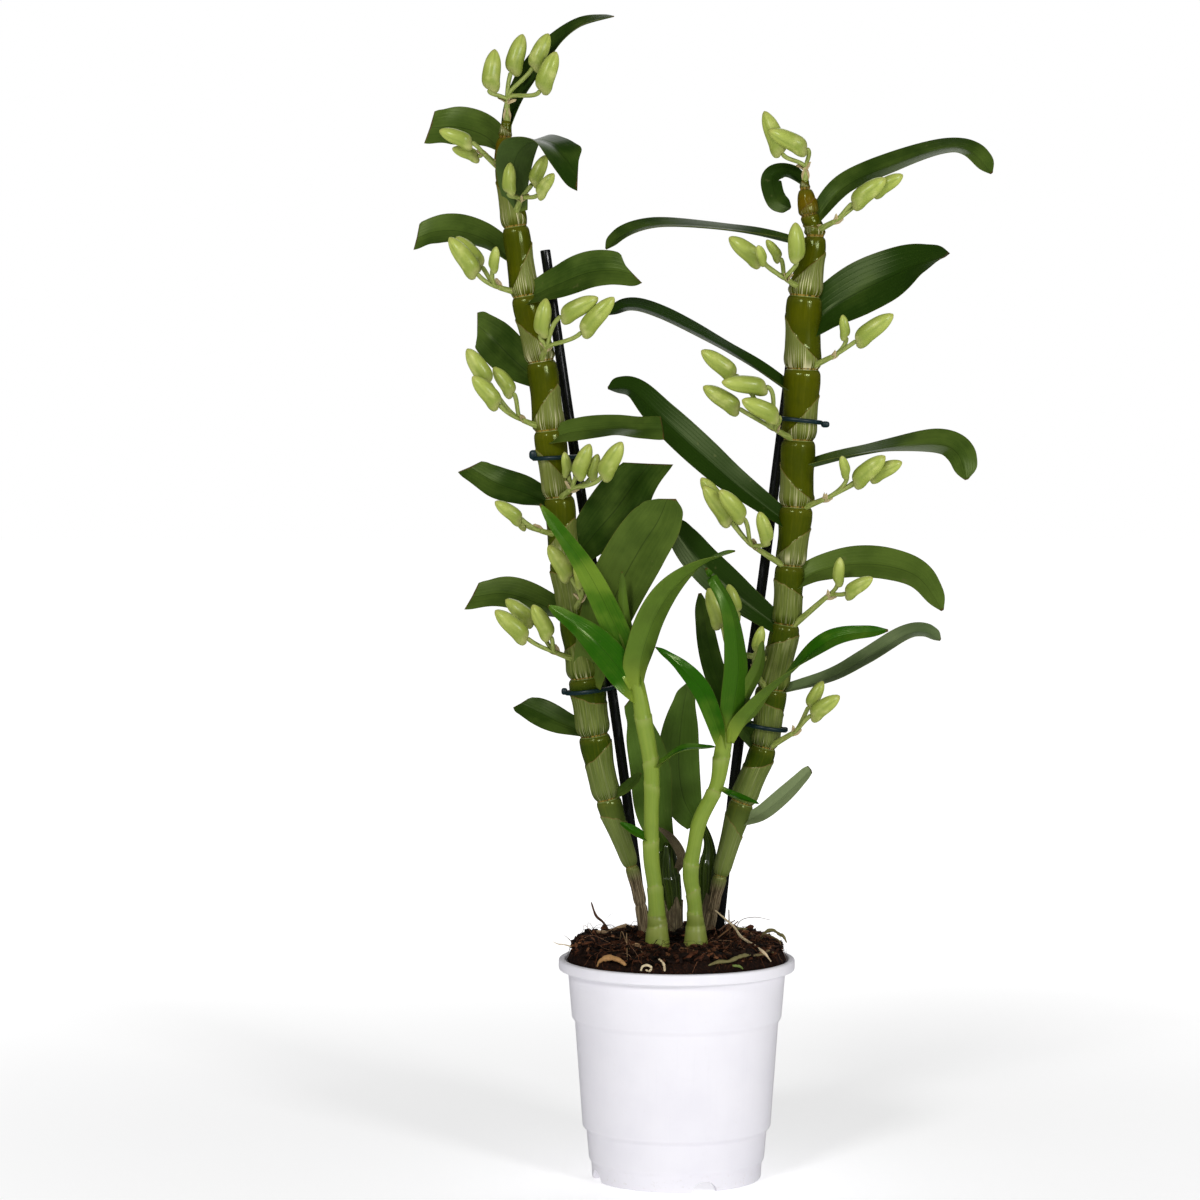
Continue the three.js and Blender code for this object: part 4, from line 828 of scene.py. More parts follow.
# %% Grow the canes
def cane(side, seed):
    """Rows are spaced evenly in each internode and columns round it. The radius at a point is the
    straight line between the nodes' radii, times the internode's swelling, times a bell at the
    crown, plus the sheath's thickness where the height is below its rim, less a groove at the node,
    plus fine ribs. The rim is a cosine and a V round the cane, turned to the leaf's side."""
    rng = np.random.default_rng(seed)
    nodes, radii = np.array(CANES[side]["nodes"], float), np.array(CANES[side]["radii"], float)
    spans = len(nodes) - 1
    s = np.linspace(0, spans, spans * PER_NODE + 1)
    i = np.minimum(s.astype(int), spans - 1)
    at = s - i
    centre = through(nodes, s / spans)
    angle = angles(CANE_COLUMNS)
    length = np.linalg.norm(np.diff(nodes, axis=0), axis=1)[i]
    radius = (radii[i] + (radii[i + 1] - radii[i]) * at) * stops(INTERNODE, at)
    crown = hump(s - spans + 1.5, 0.5)
    radius *= 1 + CROWN[side] * crown
    radius *= np.sqrt(np.clip(1 - rise(spans - 0.45, spans + 0.02, s) ** 2, 0.02, 1))
    leaf_side = np.where(np.arange(spans) % 2, 0, np.pi) + rng.uniform(-0.6, 0.6, spans)
    low = np.arange(spans) < LONG_SHEATHS
    middle = np.where(low, rng.uniform(*LONG_RIM, spans), rng.uniform(*SHORT_RIM, spans))
    swing = np.where(low, rng.uniform(*LONG_SWING, spans), rng.uniform(*SHORT_SWING, spans))
    turn = np.abs((angle - leaf_side[i][:, None] + np.pi) % FULL_TURN - np.pi)
    wander = 0.02 * noise(seed, 3 * np.cos(angle), 3 * np.sin(angle), 7.3 * i[:, None])
    rim = middle[i][:, None] + swing[i][:, None] * (0.5 * np.cos(turn) + 0.5 - turn / np.pi) + wander
    edge = (rim - at[:, None]) * length[:, None]
    edge = np.where(i[:, None] < DRY_NODES, -9, edge)
    above, below = (at * length)[:, None], ((1 - at) * length)[:, None]
    inside = rise(-0.1, 0.7, edge) * rise(0.3, 2, above)
    groove = hump(above, 0.7) + hump(below, 0.6)
    ribs = RIB_HEIGHT * noise(seed + 1, 5 * np.cos(angle), 5 * np.sin(angle), 0.8 * s[:, None])
    dry = 1 - rise(DRY_NODES - 0.35, DRY_NODES + 0.05, s)[:, None]
    relief = SHEATH_THICK * inside + RIM_THICK * inside * hump(edge - 0.6, 0.9) - NODE_PINCH * groove
    r = radius[:, None] + relief * np.minimum(1, radius[:, None] / 4) + ribs * (1 + 3 * dry)
    skin = Skin()
    skin.add(round_line(centre, np.array([1.0, 0, 0]), r, angle) * MM, s, edge=np.clip(edge, -9, 30),
             above=above, below=below, dry=dry, crown=crown[:, None])
    skin.build(f"cane_{side}_skin", [CANE_SKIN], "cane", f"cane_{side}")


for side, seed in (("left", 3), ("right", 8)):
    cane(side, seed)

# %% [markdown]
# ## The leaves
# The leaves stand in two ranks, one to the left and back, one to the right and forward. A blade is
# leathery, folded along its midrib, widest near the middle and blunt at the tip. It could be a flat
# plane bent by hand, but then it has no underside or edge. Here a closed section runs along the
# midrib: the upper face lifts to the edges with a groove down the middle, the lower face follows it
# with a keel. The side of a blade is the cross product of its direction and the way its face looks.

# %% Leaf positions
LEAVES = {                       # points of the midrib, greatest width, ways the upper face looks
    "left": [
        {"at": [[-86, 10, 531], [-79, 17, 553], [-66, 20, 572], [-50, 15, 585], [-32, 8, 589]],
         "wide": 16, "tip": 0.06, "face": [[-0.6, -0.6, 0.5], [-0.4, -0.6, 0.7], [0, -0.3, 1]]},
        {"at": [[-88, 11, 521], [-98, 20, 530], [-112, 28, 535], [-126, 33, 535]],
         "wide": 22, "tip": 0.74, "skew": -0.25,
         "face": [[0, -0.5, 0.9], [-0.2, -0.8, 0.5], [-0.2, -1, 0.1]]},
        {"at": [[-81, 4, 490], [-83, 0, 505], [-81, -5, 518], [-74, -14, 524.5], [-64, -26, 522],
                [-56, -34, 514], [-50, -38, 505]],
         "wide": 21, "base": 0.5, "tip": 0.5, "skew": 0.75, "fine": True,
         "face": [[0.1, 1, 0.1], [0.1, 1, 0.2], [-0.1, 0.8, 0.6], [-0.1, 0, 1], [0.3, -0.5, 0.8],
                  [0.4, -0.9, 0.3], [0.4, -0.95, 0.1]]},
        {"at": [[-84, 11, 466], [-95, 20, 476], [-111, 29, 482], [-124, 34, 482], [-133, 36, 479]],
         "wide": 18, "tip": 0.72, "skew": -0.35, "face": [[0, -0.6, 0.9], [-0.3, -0.9, 0.3]]},
        {"at": [[-77, 8, 446], [-60, -2, 453.5], [-45, -8, 459], [-33, -12, 460], [-22.5, -14, 458]],
         "wide": 22, "tip": 0.42, "skew": 0.55, "face": [[-0.3, -0.85, 0.5], [0, -0.85, 0.5]]},
        {"at": [[-69, 12, 404], [-82, 20, 415], [-94, 28, 427], [-102, 30, 434]],
         "wide": 21, "tip": 0.45, "skew": 0.4, "face": [[-0.4, -0.9, 0.4], [-0.3, -0.9, 0.4]]},
        {"at": [[-66, 10, 375], [-53.5, 1, 379], [-32, -10.5, 381], [-19, -18.5, 380.5],
                [-7.5, -23, 380.5]],
         "wide": 17, "tip": 0.72, "skew": 0.2,
         "face": [[0, -0.85, 0.5], [0, -0.8, 0.6], [0.1, -0.7, 0.7], [0.2, -0.8, 0.6],
                  [0.2, -0.95, 0.3]]},
        {"at": [[-62, 14, 342], [-77, 21, 348], [-92, 28, 353], [-106, 32, 361]],
         "wide": 18, "tip": 0.62, "skew": -0.4, "face": [[0, -0.75, 0.65], [-0.2, -0.9, 0.4]]},
        {"at": [[-53, 14, 313], [-42, 9, 327], [-31, 6, 340], [-21, 4, 354], [-14, 3, 363]],
         "wide": 28, "tip": 0.77, "skew": 0.55, "face": [[-0.2, -0.9, 0.4], [0, -0.9, 0.4]]},
        {"at": [[-51, 16, 283], [-70, 25, 291], [-88, 32, 296], [-105, 37, 294]],
         "wide": 19, "tip": 0.74, "skew": -0.4, "face": [[0, -0.6, 0.9], [-0.2, -0.9, 0.4]]},
        {"at": [[-43, 18, 224], [-60, 26, 230], [-71, 31, 235], [-80, 35, 239]],
         "wide": 15, "tip": 0.5, "skew": -0.3, "face": [[0, -0.8, 0.6], [-0.2, -0.9, 0.4]]},
        {"at": [[-35, 20, 191], [-25, 12, 198], [-18, 9, 205]],
         "wide": 6, "face": [[-0.4, -0.8, 0.4], [-0.4, -0.8, 0.4]]},
        {"at": [[-44, 12, 252], [-39, 3, 274], [-30, -1, 299], [-19, -5, 320], [-10, -7, 334],
                [-5, -8, 345.5]],
         "wide": 30, "base": 0.56, "tip": 0.28, "skew": 0.12,
         "face": [[-0.4, -0.9, 0], [-0.3, -1, 0.1], [-0.2, -1, 0.2]]},
    ],
    "right": [
        {"at": [[65, 10, 504], [57, 17, 511], [49, 19, 509], [51, 20, 498], [58, 18, 493]],
         "wide": 12, "face": [[0, -0.5, 0.8], [-0.6, -0.6, 0]]},
        {"at": [[69, 10, 485], [86, 10, 504], [111, 8, 515], [135, 3, 522], [148, 0, 520],
                [158, -3, 509]],
         "wide": 19, "tip": 0.1,
         "face": [[-0.3, -0.8, 0.5], [-0.1, -0.6, 0.8], [0, -0.45, 0.9], [0.1, -0.6, 0.7]]},
        {"at": [[68, 10, 473], [38, 6, 480], [11, 2, 483], [-11, -2, 483], [-26, -4, 479],
                [-36, -6, 471]],
         "wide": 16, "tip": 0.1, "face": [[0, -0.35, 1], [0, -0.35, 1], [-0.4, -0.6, 0.75]]},
        {"at": [[66, 11, 430], [77, 8, 441], [92, 6, 450], [107, 2, 457], [120, -3, 463], [134, -8, 467]],
         "wide": 29, "tip": 0.1, "skew": -0.2,
         "face": [[0.2, -0.8, 0.6], [0, -0.9, 0.5], [0, -0.6, 0.8]]},
        {"at": [[63, 12, 396], [37, 8, 414], [14, 2, 427], [-9, -3, 438], [-24, -6, 442], [-35, -8, 438]],
         "wide": 18, "tip": 0.1, "face": [[0, -0.45, 0.9], [0, -0.45, 0.9], [-0.2, -0.5, 0.85]]},
        {"at": [[60, 14, 330], [32, 7, 351], [12, 2, 368], [-8, -2, 386], [-23, -7, 400],
                [-35, -10, 401]],
         "wide": 19, "tip": 0.12, "face": [[-0.3, -0.75, 0.6], [0, -0.8, 0.6], [0.2, -0.6, 0.85]]},
        {"at": [[62, 13, 360], [88, 9, 367], [110, 6, 371], [132, 2, 373], [142, -1, 368],
                [146, -3, 355]],
         "wide": 21, "tip": 0.1,
         "face": [[0, -0.25, 1], [0, -0.3, 1], [0.3, -0.7, 0.7], [0.5, -0.9, 0.3]]},
        {"at": [[57, 16, 276], [30, 11, 297], [12, 8, 314], [-4, 6, 335]],
         "wide": 18, "face": [[-0.3, -0.8, 0.5], [-0.3, -0.8, 0.5]]},
        {"at": [[59, 15, 300], [72, 12, 308], [90, 8, 312], [108, 4, 311], [123, 0, 305], [134, -5, 289]],
         "wide": 20, "tip": 0.1, "face": [[0, -0.7, 0.7], [0.1, -0.8, 0.6], [0.5, -0.75, 0.4]]},
        {"at": [[50, 18, 245], [76, 12, 253], [96, 6, 264], [115, 0, 276], [125, -3, 278],
                [133, -5, 274]],
         "wide": 15, "face": [[0, -0.5, 0.85], [0.2, -0.5, 0.85]]},
        {"at": [[33, 22, 178], [45, 14, 185], [57, 6, 196], [68, 0, 208]],
         "wide": 10, "tip": 0.5, "face": [[-0.5, -0.8, 0.4], [-0.5, -0.8, 0.4]]},
        {"at": [[45, 20, 214], [31, 17, 235], [19, 15, 260], [12, 14, 297]],
         "wide": 12, "face": [[-0.4, -0.9, 0], [-0.3, -1, 0]]},
    ],
}
LEAF_WIDTH = [[0.14, 0.7], [0.36, 0.98], [0.64, 1], [0.86, 0.8]]
FINE_WIDTH = [[0.14, 0.72], [0.28, 0.9], [0.44, 0.96], [0.58, 1], [0.72, 1], [0.87, 0.95]]
SHOULDER = 0.95                  # where a tip has its last bend
LEAF_THICK, LEAF_FOLD, LEAF_CLASP = 0.8, 0.22, 0.35
CLASP_END, TIP_START = 0.3, 0.72
LEAF_KEEL, LEAF_GROOVE = 0.3, 0.22       # of the midrib, below and above, mm
LEAF_EDGE = 0.22                 # thickness at the edge, share of the full one
FOLD_ROUND, FOLD_FOOT = 0.006, 0.077     # round the bottom of the fold and set it at zero
LEAF_ROWS, LEAF_HALF = 64, 19            # rows along, and columns over one face
print(sum(len(rank) for rank in LEAVES.values()), "leaves on the canes")

# %% A blade
def blade(skin, at, wide, face, base=0.42, tip=0.14, skew=0, fine=False, between=LEAF_WIDTH,
          clasp=LEAF_CLASP, fold=LEAF_FOLD, thick=LEAF_THICK, wave=0.05, back=0.0, seed=0,
          rows=LEAF_ROWS, material=0, **paint):
    """Across the blade, s runs from -1 to 1 on the upper face and back on the lower. The side is the
    cross product of the blade's direction and the smooth line through the looks of its face. The
    upper face lifts by the fold times the distance from the midrib, less a narrow groove; the lower
    face is lower by a thickness that thins to the edges, less a keel. Edges ripple by a slow noise,
    and over the tip each point moves on by the skew times s, so that the end is cut at a slant.
    The lower face takes the share `back` of the upper face's colour."""
    u = np.linspace(0, 1, rows) ** 0.95
    centre = through(at, u)
    t = unit(np.gradient(centre, axis=0))
    side = unit(np.cross(t, through(unit(np.array(face, float)), u)))
    up = np.cross(side, t)
    between = FINE_WIDTH if fine else between
    last = between[-1][1]
    widths = [[0, base], *between, [SHOULDER, tip + (last - tip) * 0.62], [1, tip]]
    run = u[:, None]
    half = wide / 2 * stops(widths, run)
    s = np.sin(np.linspace(-np.pi / 2, np.pi / 2, LEAF_HALF))
    s = np.concatenate([s, s[-2:0:-1]])
    lower = np.arange(len(s)) >= LEAF_HALF
    taper = 1 - 0.6 * rise(0.8, 1, run)
    lift = (fold + clasp * (1 - rise(0, CLASP_END, run))) * half
    lift = lift * (np.sqrt(s * s + FOLD_ROUND) - FOLD_FOOT)
    ripple = noise(5, run * 3.2, np.sign(s) * 2.5, seed)
    lift = lift + wave * half * np.abs(s) ** 1.5 * ripple * rise(0.05, 0.3, run) * 1.8
    body = thick * (LEAF_EDGE + (1 - LEAF_EDGE) * np.sqrt(1 - s * s)) * taper
    rib = hump(s * half, 0.9) * rise(0, 0.1, run) * taper
    height = np.where(lower, lift - body - LEAF_KEEL * rib, lift - LEAF_GROOVE * rib)
    ahead = skew * wide / 2 * rise(TIP_START, 1, run) * s
    P = (centre[:, None] + side[:, None] * (s * half)[..., None] + up[:, None] * height[..., None]
         + t[:, None] * ahead[..., None])
    skin.add(P * MM, u * length_of(centre) / MAP_SCALE, material, u=(np.append(s, s[0]) + 1) / 2,
             top=np.where(lower, back, 1.0), share=run, **paint)


def darker(colour, share):
    """A screen colour with each of its numbers times the share."""
    return tuple(c * share for c in colour)


def leaf_skin(name, dark, light, under, foot, foot_reach, rough, sheen=0.17):
    """Leathery leaf: clouds between a dark and a lighter green by the painted tone, a paler back,
    faint veins along the blade, a thin dark midrib and a foot in the colour of the stem."""
    f = Finish(name, IOR=1.45, Specular_IOR_Level=sheen, Specular_Tint=WAX_TINT)
    spot, upper, tone, share = f.place(), f.painted("top"), f.painted("tone"), f.painted("share")
    s = f.map(0)
    vein = f.math("ABSOLUTE", f.math("SINE", s * 35 + f.grain(spot, 45, 2) * 1.2))
    fine, cloud = f.streaks(26, 3, 2), f.grain(spot, 38, 3, 0.55)
    shade = tone + 0.5 * f.band(cloud, 0.3, 0.75) + 0.1 * f.band(fine, 0.35, 0.7) - 0.2
    fresh = f.mix(f.band(shade, 0.0, 1.0), dark, light)
    back = f.mix(f.band(cloud, 0.35, 0.7), under, darker(under, 0.84))
    colour = f.mix(upper, back, fresh)
    colour = f.mix((1 - f.band(vein, 0.0, 0.3)) * 0.06, colour, light)
    middle = f.math("ABSOLUTE", s - 0.5)
    colour = f.mix((1 - f.band(middle, 0.004, 0.016)) * 0.5, colour, darker(dark, 0.6))
    colour = f.mix(f.band(middle, 0.482, 0.499) * 0.4, colour, (104, 98, 44))
    colour = f.mix(1 - f.band(share + cloud * 0.1, foot_reach * 0.3, foot_reach), colour, foot)
    fleck = f.band(f.grain(spot, 170, 2, 0.6), 0.69, 0.76)
    colour = f.mix(fleck * 0.3, colour, (104, 104, 62))
    worn = f.band(share + f.grain(spot, 300, 3) * 0.03, 1.0, 1.014)
    colour = f.mix(worn * 0.8, colour, (92, 66, 34))
    shine = rough + 0.12 * cloud + 0.14 * (1 - upper)
    return f.done(colour, shine, f.band(vein, 0.0, 0.5) * 0.4 + fine * 0.3 + cloud * 0.3, 0.06)


OLD_LEAF = leaf_skin("dark_leaf", (31, 53, 10), (82, 102, 38), (66, 86, 38), (92, 106, 38), 0.1, 0.24)
GREY_LEAF = leaf_skin("greyish_leaf", (84, 102, 62), (124, 138, 96), (104, 118, 74), (104, 110, 60), 0.1,
                      0.42)

# %% Hang the leaves
GREYISH = {("right", 10), ("right", 11)}
TONES = {                        # of leaf 1, 2, 3 ...: from dark at 0 to light at 1
    "left": [0.2, 0.6, 0.05, 0.45, 0.4, 0.35, 0.45, 0.2, 0.2, 0.45, 0.15, 0.4, 0.65],
    "right": [0.2, 0.4, 0.2, -0.05, -0.3, -0.3, 0.5, -0.4, 0.75, 0.3, 1.1, 0.2],
}
for rank, (side, leaves) in enumerate(LEAVES.items()):
    for number, leaf in enumerate(leaves, 1):
        skin = Skin()
        blade(skin, **leaf, seed=20 * rank + number, tone=TONES[side][number - 1])
        finish = GREY_LEAF if (side, number) in GREYISH else OLD_LEAF
        skin.build(f"leaf_blade_{side}_{number}", [finish], "leaf", f"leaf_{side}_{number}")

# %% [markdown]
# ## The sprays of buds
# From the nodes come short stalks, each with two to four plump buds on curved pedicels. A bud is a
# pointed egg with a small chin on its lower side, where the lip's foot is folded up, and three seams
# between its sepals. Each pedicel is the smooth bend, a Hermite cubic, that leaves the stalk along its
# own direction and reaches the bud along the bud's axis.

# %% Bud positions
SPRAYS = {                       # seat on the cane, fork, then base and tip of each bud
    "left": [
        [[-86, 10, 535], [-86, 8, 546], [[-95, 5, 552], [-92, 5, 572]], [[-84, 9, 561], [-78, 9, 580]],
         [[-73, 6, 563], [-65, 6, 580]], [[-69, 0, 551], [-61, -2, 570]]],
        [[-88, 10, 511], [-97, 5, 519], [[-104, 2, 525], [-120, 2, 531]],
         [[-101, 11, 519], [-114, 14, 523]]],
        [[-83, 10, 487], [-79, -3, 496], [[-85, -8, 499], [-84, -9, 514]],
         [[-73, -4, 504], [-66, -5, 518]], [[-70, -11, 498], [-62, -16, 508]]],
        [[-78, 10, 449], [-90, 3, 452], [[-101, -1, 459], [-115, -2, 477]],
         [[-99, 8, 463], [-112, 10, 478]], [[-93, -5, 461], [-91, -9, 472]]],
        [[-70, 11, 414], [-66, -5, 421], [[-69, -10, 428], [-66, -12, 446]],
         [[-58, -17, 437], [-40, -21, 446]], [[-48, -19, 429], [-32, -24, 446]]],
        [[-65, 12, 380], [-78, 3, 385], [[-95, -1, 404], [-106, -3, 421]],
         [[-90, -7, 393], [-103, -10, 407]], [[-83, 6, 399], [-93, 8, 412]]],
        [[-61, 13, 344], [-54, -3, 350], [[-51, -10, 357], [-44, -14, 373]],
         [[-38, -18, 357], [-28, -24, 374]], [[-55, -1, 358], [-57, -3, 369]],
         [[-44, -8, 356], [-40, -11, 368]]],
        [[-58, 13, 326], [-69, 3, 329], [[-79, -1, 335], [-92, -3, 344]],
         [[-77, 8, 332], [-86, 11, 338]]],
        [[-53, 15, 286], [-49, 0, 294], [[-54, -5, 306], [-65, -7, 322]],
         [[-48, -7, 302], [-51, -11, 314]]],
        [[-47, 16, 261], [-61, 4, 267], [[-76, -2, 275], [-92, -4, 289]], [[-73, 5, 283], [-87, 8, 294]],
         [[-64, -5, 276], [-73, -8, 292]]],
    ],
    "right": [
        [[65, 10, 505], [65, 9, 512], [[53, 6, 520], [44, 6, 541]], [[65, 3, 522], [46, 1, 531]]],
        [[69, 10, 480], [79, -1, 485], [[88, -6, 494], [104, -11, 506]],
         [[99, -3, 500], [113, -7, 508]]],
        [[66, 11, 450], [55, -1, 456], [[42, -2, 465], [26, -3, 477]], [[43, -9, 465], [40, -17, 472]],
         [[52, 3, 467], [45, 2, 476]], [[60, -8, 465], [59, -10, 484]]],
        [[64, 12, 410], [78, -1, 417], [[90, -7, 425], [108, -12, 438]], [[85, -4, 427], [83, -6, 438]]],
        [[62, 13, 374], [50, -3, 380], [[29, -5, 408], [12, -8, 420]], [[44, -11, 402], [22, -16, 404]],
         [[31, -4, 391], [13, -5, 402]], [[50, -14, 387], [32, -20, 395]]],
        [[61, 14, 339], [74, 0, 345], [[89, -8, 354], [104, -14, 367]], [[98, -3, 357], [113, -8, 364]],
         [[85, -11, 358], [82, -17, 367]]],
        [[58, 15, 309], [39, -2, 321], [[27, -8, 334], [13, -12, 352]], [[22, -4, 343], [12, -6, 356]],
         [[33, -14, 336], [21, -20, 350]], [[46, -9, 324], [41, -13, 339]]],
        [[56, 16, 277], [76, -1, 296], [[81, -6, 303], [82, -9, 316]], [[85, -9, 298], [98, -14, 306]]],
        [[52, 17, 262], [29, 6, 267], [[23, 3, 281], [16, 2, 300]], [[31, 4, 288], [26, 3, 302]]],
        [[48, 18, 245], [40, 3, 257], [[40, -1, 268], [43, -3, 281]]],
        [[45, 20, 216], [59, 5, 226], [[67, 1, 240], [74, -1, 253]], [[68, -4, 236], [82, -8, 246]]],
    ],
}
print(sum(len(spray) - 2 for rank in SPRAYS.values() for spray in rank), "buds")

# %% Finishes of buds and stalks
def bud_skin():
    f = Finish("bud_skin", IOR=1.42, Specular_IOR_Level=0.45)
    tip, seam = f.painted("tip"), f.painted("seam")
    streak, cloud = f.streaks(40, 3), f.grain(f.place(), 160, 3)
    # darker at the base and paler toward the upward tip: partly the bud's own colour, partly painted shade
    # low down and painted light on top
    colour = f.mix(tip, (120, 136, 50), (176, 188, 90))
    colour = f.mix(f.band(tip, 0.85, 1.0) * 0.5, colour, (176, 170, 92))
    colour = f.mix(f.band(streak, 0.45, 0.75) * 0.3, colour, (146, 164, 70))
    colour = f.mix(f.band(cloud, 0.5, 0.75) * 0.45, colour, (204, 206, 128))
    colour = f.mix(seam * 0.5, colour, (108, 128, 44))
    colour = f.mix(f.band(tip + cloud * 0.06, 0.22, 0.03) * 0.45, colour, (184, 180, 122))
    return f.done(colour, 0.22 + 0.14 * cloud, streak * 0.5 + cloud * 0.3, 0.12)


def stalk_skin(name, light, dark, fleck):
    f = Finish(name, IOR=1.42)
    streak, cloud = f.streaks(14, 5), f.grain(f.place(), 300, 3)
    colour = f.mix(f.band(streak, 0.3, 0.7), light, dark)
    colour = f.mix(f.band(cloud, 0.58, 0.75) * 0.5, colour, fleck)
    return f.done(colour, 0.4 + 0.15 * cloud, streak + cloud, 0.15)


SPRAY_SKINS = [
    stalk_skin("pedicel_skin", (152, 162, 86), (118, 134, 54), (132, 112, 64)),
    bud_skin(),
    stalk_skin("bract_paper", (196, 182, 138), (156, 132, 88), (112, 84, 52)),
]

# %% Form the sprays
BUD_RADIUS, BUD_SLENDER, PEDICEL_RADIUS = 4.6, 0.228, 1.1      # slender: radius over length at most
PEDUNCLE_RADIUS, PEDUNCLE_TAPER = 1.6, np.array([1.15, 1.0, 0.8])
BUD_OUTLINE = [[0, 0.3], [0.04, 0.58], [0.12, 0.84], [0.26, 1.0], [0.42, 1.0], [0.6, 0.94], [0.77, 0.77],
               [0.9, 0.5], [0.97, 0.27], [1, 0.09]]
BUD_ROWS, BUD_COLUMNS = 26, 27
SEAMS_AT, SEAM_DEEP = (np.pi, 1.15, -1.15), 0.045      # angles from the lower side, share of the radius
CHIN_HEIGHT, CHIN_BACK = 1.5, 2.2                      # mm
BRACT = dict(base=0.8, tip=0.08, between=[[0.4, 1], [0.8, 0.6]], clasp=0.0, rows=10, thick=0.35,
             fold=0.55, wave=0.0, material=2)
BRACT_WIDE, LOW_BRACT_WIDE = 3.4, 4.2                  # at the fork and low on the stalk, mm


def bud(skin, base, tip):
    """Radius: the outline times the greatest radius, less three seams. The chin swells the lower
    side near the base and reaches back a little."""
    base, tip = np.array(base, float), np.array(tip, float)
    size = np.linalg.norm(tip - base)
    axis = (tip - base) / size
    e1 = unit(np.array([0.2, 1, 0.1]) - np.dot([0.2, 1, 0.1], axis) * axis)
    e2 = np.cross(axis, e1)
    down = unit(np.array([0, 0, -1]) + axis[2] * axis)
    t = (0.5 - 0.5 * np.cos(np.linspace(0, np.pi, BUD_ROWS)))[:, None]
    a = angles(BUD_COLUMNS)
    turn = a - math.atan2(down @ e2, down @ e1)
    low = np.clip(np.cos(turn), 0, 1) ** 2
    seam = sum(hump((turn - k + 0.25 * t + np.pi) % FULL_TURN - np.pi, 0.16) for k in SEAMS_AT)
    seam = seam * rise(0.08, 0.3, t)
    outline = stops(BUD_OUTLINE, t)
    r = min(BUD_RADIUS, size * BUD_SLENDER) * (outline - SEAM_DEEP * seam * outline)
    r = r + CHIN_HEIGHT * low * hump(t - 0.09, 0.12)
    along = t * size - CHIN_BACK * low * hump(t - 0.05, 0.09)
    skin.add(rings(base + axis * along[..., None], e1, e2, r, a) * MM, t[:, 0], 1, tip=t, seam=seam)


def pedicel(skin, start, leaving, end, arriving):
    """The Hermite cubic between two points with a direction at each, as a thin tube."""
    line = bend(np.linspace(0, 1, 9)[:, None], start, leaving, end, arriving, np.linalg.norm(end - start))
    tube(skin, line, PEDICEL_RADIUS * np.linspace(0.95, 1.1, 9), 10, 18)


for side, sprays in SPRAYS.items():
    for number, (seat, fork, *buds) in enumerate(sprays, 1):
        skin = Skin()
        seat, fork = np.array(seat, float), np.array(fork, float)
        out = unit(fork - seat)
        tube(skin, [seat, (seat + fork) / 2, fork + out], PEDUNCLE_RADIUS * PEDUNCLE_TAPER, 14, 16)
        beside = unit(np.cross(out, [0.1, 0.2, 1.0]))
        for k, (base, tip) in enumerate(buds):
            base, tip = np.array(base, float), np.array(tip, float)
            pedicel(skin, fork, out, base, unit(tip - base))
            bud(skin, base, tip)
            away = unit(unit(base - fork) + 0.6 * beside * (-1) ** k)
            blade(skin, [fork - out * 0.8, fork + away * 2.6, fork + away * 5.2], BRACT_WIDE,
                  [away * 0.3 - beside, -beside], **BRACT)
        blade(skin, [seat + out * 2, seat + out * 4.5 + (0, -1.2, 0.6), seat + out * 7 + (0, -1.4, 1.2)],
              LOW_BRACT_WIDE, [[0, -1, 0.3], [0, -1, 0.3]], **BRACT)
        skin.build(f"bud_spray_{side}_{number}", SPRAY_SKINS, "bud", f"buds_{side}_{number}")

# %% [markdown]
# ## The young shoots
# Two soft shoots rise in front of the canes. Each stem is wrapped by sheaths that end in slightly
# flared rings, one inside the next, and the upper ones open into glossy blades that clasp the stem.
# The rings are added to a tapering stem as small flares that grow upward and stop short.

